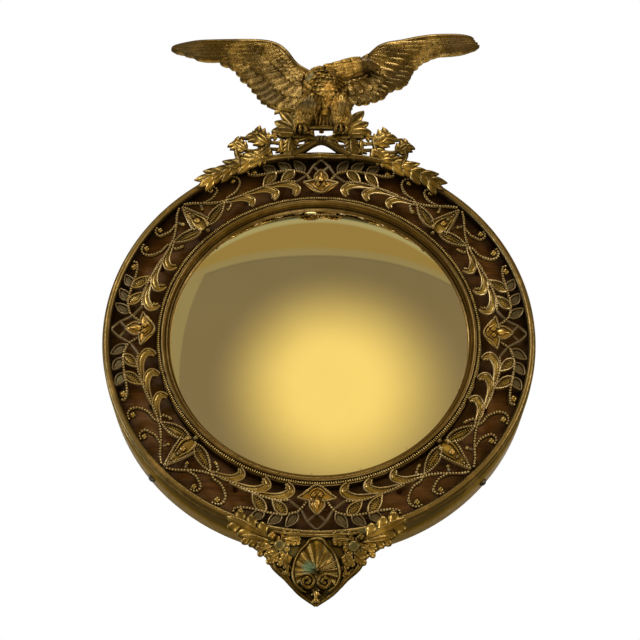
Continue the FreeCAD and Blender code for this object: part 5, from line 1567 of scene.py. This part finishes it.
for share in list(np.linspace(0.05, 1.0, SHELL_ROWS)) + [1.0]:
    for step in range(SHELL_STEPS):
        angle = 2 * math.pi * step / SHELL_STEPS - math.pi
        reach = np.interp(abs(angle), edge_angles, edge_reach) * share
        rib = math.cos(angle * SHELL_RIBS) * 0.36 * share ** 0.6
        stand = 1.0 if len(shell_points) >= SHELL_ROWS * SHELL_STEPS else 2.0 + 1.6 * share ** 2 + rib
        place = np.array((math.sin(angle) * reach, -stand, math.cos(angle) * reach))
        shell_points.append(SHELL_HINGE + place)
shell_faces = grid_faces(SHELL_ROWS + 1, SHELL_STEPS, True)
shell_last = len(shell_points) - 1
shell_faces.append(tuple(range(SHELL_STEPS)))
shell_faces.append(tuple(range(shell_last, shell_last - SHELL_STEPS, -1)))
drop.add(shell_points, shell_faces)
frame_right = curve([drop_point(place, 1, SHELL_FRAME_STAND) for place in shell_edge_shares[:-1]])
frame_left = [point * MIRRORED for point in frame_right]
for half in (frame_right, frame_left):
    tube(drop, half, [CORD_R], flat=1.4)
    tube(frame_wire, [point + FRONT * 0.85 for point in half], [CORD_WIRE_R])
ROSETTE_R = 2.8
ROSETTE_PETALS = 8
# base, tip, width and pairs of lobes
drop_leaf_shares = (
    ((0.50, 0.10), (0.985, -0.235), 11.5, 3), ((0.50, 0.13), (0.83, 0.04), 8.5, 3),
    ((0.47, 0.20), (0.64, 0.26), 6.5, 2), ((0.37, 0.10), (0.16, 0.10), 6.0, 3),
    ((0.43, 0.02), (0.12, 0.03), 4.6, 3), ((0.40, 0.30), (0.53, 0.36), 7.0, 3),
    ((0.31, 0.28), (0.36, 0.48), 6.5, 3), ((0.29, 0.44), (0.32, 0.60), 5.0, 2),
)
drop_ribbon_shares = (
    ((0.40, 0.50), (0.34, 0.56), (0.285, 0.66), (0.215, 0.78), (0.12, 0.90)),
    ((0.46, 0.42), (0.42, 0.52), (0.33, 0.64), (0.24, 0.765), (0.13, 0.885)),
)
for side in (-1, 1):
    volute = []
    for turn_share in np.linspace(0, 1, VOLUTE_STEPS):
        angle = math.radians(100 - 560 * turn_share)
        reach = 3.7 - 2.9 * turn_share
        across = side * (4.2 - math.cos(angle) * reach)
        place = np.array((across, -4.6 - 0.9 * turn_share, -6.0 + math.sin(angle) * reach))
        volute.append(SHELL_HINGE + place)
    tube(drop, volute, (0.9, 1.15, 1.0, 0.8))
    ball(drop, volute[-1], (0.95, 0.9, 0.95))
    rosette = drop_point(ROSETTE_PLACE, side)
    for petal in range(ROSETTE_PETALS):
        angle = 2 * math.pi * petal / ROSETTE_PETALS + 0.3
        way = np.array((math.cos(angle), 0.0, math.sin(angle)))
        blade(
            drop, rosette + way * 2.0, rosette + way * 5.8, 4.0, 0.9, petal_width, lift=(1.8, 1.6),
            thick=0.7, groove=0.5, rows=12, columns=7,
        )
    boss(drop, rosette, [(ROSETTE_R, 1.2), (ROSETTE_R, 3.2), (ROSETTE_R - 0.3, 3.5), (0.6, 3.4)], 18)
    for base, tip, width, pairs in drop_leaf_shares:
        ends = (drop_point(base, side, LEAF_STAND), drop_point(tip, side, LEAF_STAND))
        lobed_leaf(drop, *ends, width, pairs, 1.4, 1.0, petal_width, 0.54)
    for places in drop_ribbon_shares:
        tube(drop, curve([drop_point(place, side, RIBBON_STAND) for place in places]), (0.7, 1.0, 1.0, 0.7))
    # The left bead is in a brighter brass than the right one.
    ball(left_bead if side < 0 else drop, drop_point(DROP_BEAD_PLACE, side, 4.0), (2.3, 1.9, 2.3))
for across, up, size in ((-1.6, 1.4, 0.9), (0.6, 0.2, 1.0), (-1.5, -1.4, 0.8)):
    ball(drop, SHELL_HINGE + np.array((across, -3.2, up)), (size, size, size))
lobed_leaf(drop, drop_point((0.0, 0.80), 1, 1.0), drop_point((0.0, 0.99), 1, 1.0), 5.0, 2, 1.6, 1.2)
RAIL_DROP = 1.7
RAIL_DEGREES = 10.5
rail_r = DROP_TOP_R + RAIL_DROP
rail_path = []
for degrees in np.linspace(-RAIL_DEGREES, RAIL_DEGREES, 24):
    angle = math.radians(degrees)
    rail_path.append(np.array((rail_r * math.sin(angle), CAST_BACK_Y - 2.6, -rail_r * math.cos(angle))))
tube(drop, rail_path, [0.9, 1.4, 0.9])
for degrees in DROP_LUG_DEGREES:
    lug(drop, degrees)
drop.piece("drop_foliage", drop_brass, "aged_brass", ["shell_drop"])
# The frame's thin front wire takes the scrolls' brighter brass, partly as a painted highlight along the
# frame.
frame_wire.piece("drop_frame_wire", scroll_brass, "aged_brass", [])
left_bead.piece("drop_bead", leaf_brass, "aged_brass", [])
hoop_screws("drop_screw_heads", DROP_LUG_DEGREES, RIM_R + SEAT_GAP + LUG_THICK, ["drop_screws"])

# Hanger: a pressed brass plate on the back of the board, with two ears, a pin and a ring that
# swings. The ring goes over a hook or nail in the wall.


def plain_brass():
    """Return the hanger's finish: dull brass with scratches."""
    material, place = new_finish("plain_brass")
    cloud = place.noise(130.0, 5.0)
    streak = place.node("Mapping", None, {"Vector": place, "Scale": (60.0, 900.0, 900.0)})
    scratch = streak.noise(2.0, 3.0)
    edge = place.node("NewGeometry", None, None, "Pointiness")
    tarnish = cloud.step(0.38, 0.66).tint((0.15, 0.095, 0.03), (0.42, 0.28, 0.095))
    colour = (edge.step(0.51, 0.58) * 0.6).tint(tarnish, (0.62, 0.44, 0.17))
    relief = (scratch + cloud).bump(0.3, 0.0001)
    coat(place, {"Base Color": colour, "Metallic": 0.95, "Roughness": 0.3 + cloud * 0.2, "Normal": relief})
    return material


hanger_brass = plain_brass()
for node in ("hanger_plate", "hanger_pin", "hanger_ring"):
    dress(node, hanger_brass)
hanger_heads = Casting()
HANGER_SCREW_SPACING = 26.0
HANGER_HEAD_R = 2.6
HANGER_HEAD_RISE = 1.3
HANGER_FACE_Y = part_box("hanger_screws")[1][1] / MM - HANGER_HEAD_RISE
HANGER_DROP = 37.2
HANGER_Z = RIM_R - HANGER_DROP
for side in (-1, 1):
    seat = np.array((side * HANGER_SCREW_SPACING / 2, HANGER_FACE_Y, HANGER_Z))
    tilt = math.radians(30.0 + 50.0 * side)
    slot_way = (math.cos(tilt), 0.0, math.sin(tilt))
    screw_head(hanger_heads, seat, (0.0, 1.0, 0.0), slot_way, HANGER_HEAD_R, HANGER_HEAD_RISE, SHANK)
hanger_heads.piece("hanger_screw_heads", steel, "dark_steel", ["hanger_screws"], 40.0)

# Studio: a pale floor well below, a warm curved card behind the camera that the dome and the
# brass mirror, soft lamps to the sides and above, and a plain white background.

FLOOR_Z = -2.4
FLOOR_R = 9.0
FLOOR_STEPS = 64
CARD_R = 2.6
CARD_ROWS = 40
CARD_COLUMNS = 41


def pale_floor():
    """Return the floor's finish, which the camera sees a little paler than the lamps make it."""
    material, place = new_finish("pale_floor")
    cloud = place.noise(6.0, 3.0)
    colour = cloud.tint((0.80, 0.79, 0.77), (0.84, 0.83, 0.81))
    lit = place.node("BsdfDiffuse", None, {"Color": colour})
    pale = place.node("Emission", None, {"Color": colour, "Strength": 1.05})
    seen = place.node("LightPath", None, None, "Is Camera Ray") * 0.7
    place.node("OutputMaterial", None, {"Surface": place.node("MixShader", None, {0: seen, 1: lit, 2: pale})})
    return material


def stage_mesh(name, points, faces, material):
    """Add a surface of the studio."""
    mesh = bpy.data.meshes.new(name)
    mesh.from_pydata(points, [], faces)
    mesh.materials.append(material)
    mesh.polygons.foreach_set("use_smooth", [True] * len(mesh.polygons))
    made = bpy.data.objects.new(name, mesh)
    bpy.context.scene.collection.objects.link(made)
    return made


floor_points = []
for angle in np.linspace(0, 2 * math.pi, FLOOR_STEPS + 1)[:-1]:
    floor_points.append((FLOOR_R * math.cos(angle), FLOOR_R * math.sin(angle), FLOOR_Z))
stage_mesh("floor", floor_points, [tuple(range(FLOOR_STEPS))], pale_floor())


def glow_card():
    """Return the card's finish: a warm glow, olive round it and an ochre band with pale lines above."""
    material, place = new_finish("glow_card")
    way = place.node("VectorMath", {"operation": "NORMALIZE"}, {0: place})
    side = place.node("SeparateXYZ", None, {"Vector": way}, "X")
    high = side.sibling("Z")
    across = side - 0.105
    up = high + 0.005
    spread_out = (across * across + up * up) ** 0.5
    halo = 1.0 - spread_out.step(0.23, 0.80)
    olive = high.step(0.5, 0.8).tint((0.235, 0.17, 0.070), (0.222, 0.165, 0.068))
    glow = halo.tint(olive, (1.0, 0.72, 0.185))
    ahead = side.sibling("Y") * -1.0
    above = 0.545 - side * side * 0.6 - ahead
    beside = side * -0.97 - ahead - 0.19
    cove = place.maths("MAXIMUM", above.step(0.0, 0.012), beside.step(0.0, 0.02))
    band = above.step(0.03, 0.09).tint((0.315, 0.24, 0.088), (0.33, 0.215, 0.052))
    band = ahead.step(0.215, 0.245).tint((0.41, 0.34, 0.13), band)
    band = ahead.step(0.165, 0.185).tint((0.07, 0.075, 0.036), band)
    line = above.step(-0.016, -0.006) * (1.0 - above.step(-0.006, 0.0)) * 0.35
    colour = cove.tint(line.tint(glow, (0.16, 0.125, 0.055)), band)
    light = place.node("Emission", None, {"Color": colour, "Strength": 1.0})
    clear = place.node("BsdfTransparent", None, {"Color": (1, 1, 1, 1)})
    camera_ray = place.node("LightPath", None, None, "Is Camera Ray")
    mixed = place.node("MixShader", None, {0: camera_ray, 1: light, 2: clear})
    place.node("OutputMaterial", None, {"Surface": mixed})
    return material


card_points = []
for high in np.linspace(-66, 89, CARD_ROWS):
    tilt = math.radians(high)
    reach = CARD_R * math.cos(tilt)
    for wide in np.linspace(-100, 100, CARD_COLUMNS):
        swing = math.radians(wide)
        card_points.append((reach * math.sin(swing), -reach * math.cos(swing), CARD_R * math.sin(tilt)))
stage_mesh("glow_card", card_points, grid_faces(CARD_ROWS, CARD_COLUMNS), glow_card())

scene = bpy.context.scene
world = bpy.data.worlds.new("studio")
world.use_nodes = True
world.node_tree.nodes.clear()
sky = Shade(world.node_tree)
path = sky.node("LightPath", None, None, "Is Camera Ray")
glossy = path.sibling("Is Glossy Ray")
through = path.sibling("Is Transmission Ray")
seen = sky.maths("MINIMUM", path + glossy + through, 1.0)
ambient = sky.node("Background", None, {"Color": (1.0, 0.97, 0.92, 1), "Strength": 0.36})
white = sky.node("Background", None, {"Color": (1.0, 1.0, 1.0, 1), "Strength": 1.0})
sky.node("OutputWorld", None, {"Surface": sky.node("MixShader", None, {0: seen, 1: ambient, 2: white})})
scene.world = world
WARM = (1.0, 0.93, 0.80)
DAYLIGHT = (0.82, 0.90, 1.0)


def lamp(name, place, power, size, colour):
    """Hang a soft lamp that faces the mirror and isn't seen in its dome."""
    light = bpy.data.lights.new(name, "AREA")
    light.energy = power
    light.size = size
    light.color = colour
    made = bpy.data.objects.new(name, light)
    made.location = place
    made.rotation_euler = (-Vector(place)).to_track_quat("-Z", "Y").to_euler()
    scene.collection.objects.link(made)
    made.light_linking.receiver_collection = unlit_glass


unlit_glass = bpy.data.collections.new("lamps_skip")
unlit_glass.objects.link(dome)
unlit_glass.collection_objects[0].light_linking.link_state = "EXCLUDE"
lamp("lamp_left", (-0.8, -1.3, 0.8), 7.4, 0.4, WARM)
lamp("lamp_right", (1.1, -1.0, 0.3), 5.0, 0.4, WARM)
lamp("lamp_top", (0.1, -0.6, 1.5), 7.4, 0.5, WARM)
lamp("lamp_low", (0.2, -1.1, -0.9), 3.0, 0.5, WARM)
lamp("lamp_side", (-1.5, -0.35, 0.0), 8.0, 0.6, DAYLIGHT)

# Camera: below the mirror, looking up at it, at the photograph's distance and framing.

AIM = Vector((0.0, -0.028, 0.0))
CAMERA_DISTANCE = 0.7097
CAMERA_DEGREES = -27.643
CAMERA_ROLL = 0.687
CAMERA_LENS = 75.03
CAMERA_SENSOR = 36.0
CAMERA_SHIFT = (0.0014, 0.0171)
camera_data = bpy.data.cameras.new("camera")
camera_data.lens = CAMERA_LENS
camera_data.sensor_width = CAMERA_SENSOR
camera_data.shift_x, camera_data.shift_y = CAMERA_SHIFT
camera = bpy.data.objects.new("camera", camera_data)
tilt = math.radians(CAMERA_DEGREES)
camera.location = AIM + Vector((0.0, -math.cos(tilt), math.sin(tilt))) * CAMERA_DISTANCE
aim = (AIM - camera.location).to_track_quat("-Z", "Y").to_matrix().to_4x4()
roll = Matrix.Rotation(math.radians(CAMERA_ROLL), 4, "Z")
camera.matrix_world = Matrix.Translation(camera.location) @ aim @ roll
scene.collection.objects.link(camera)
scene.camera = camera
scene.view_settings.view_transform = "Standard"
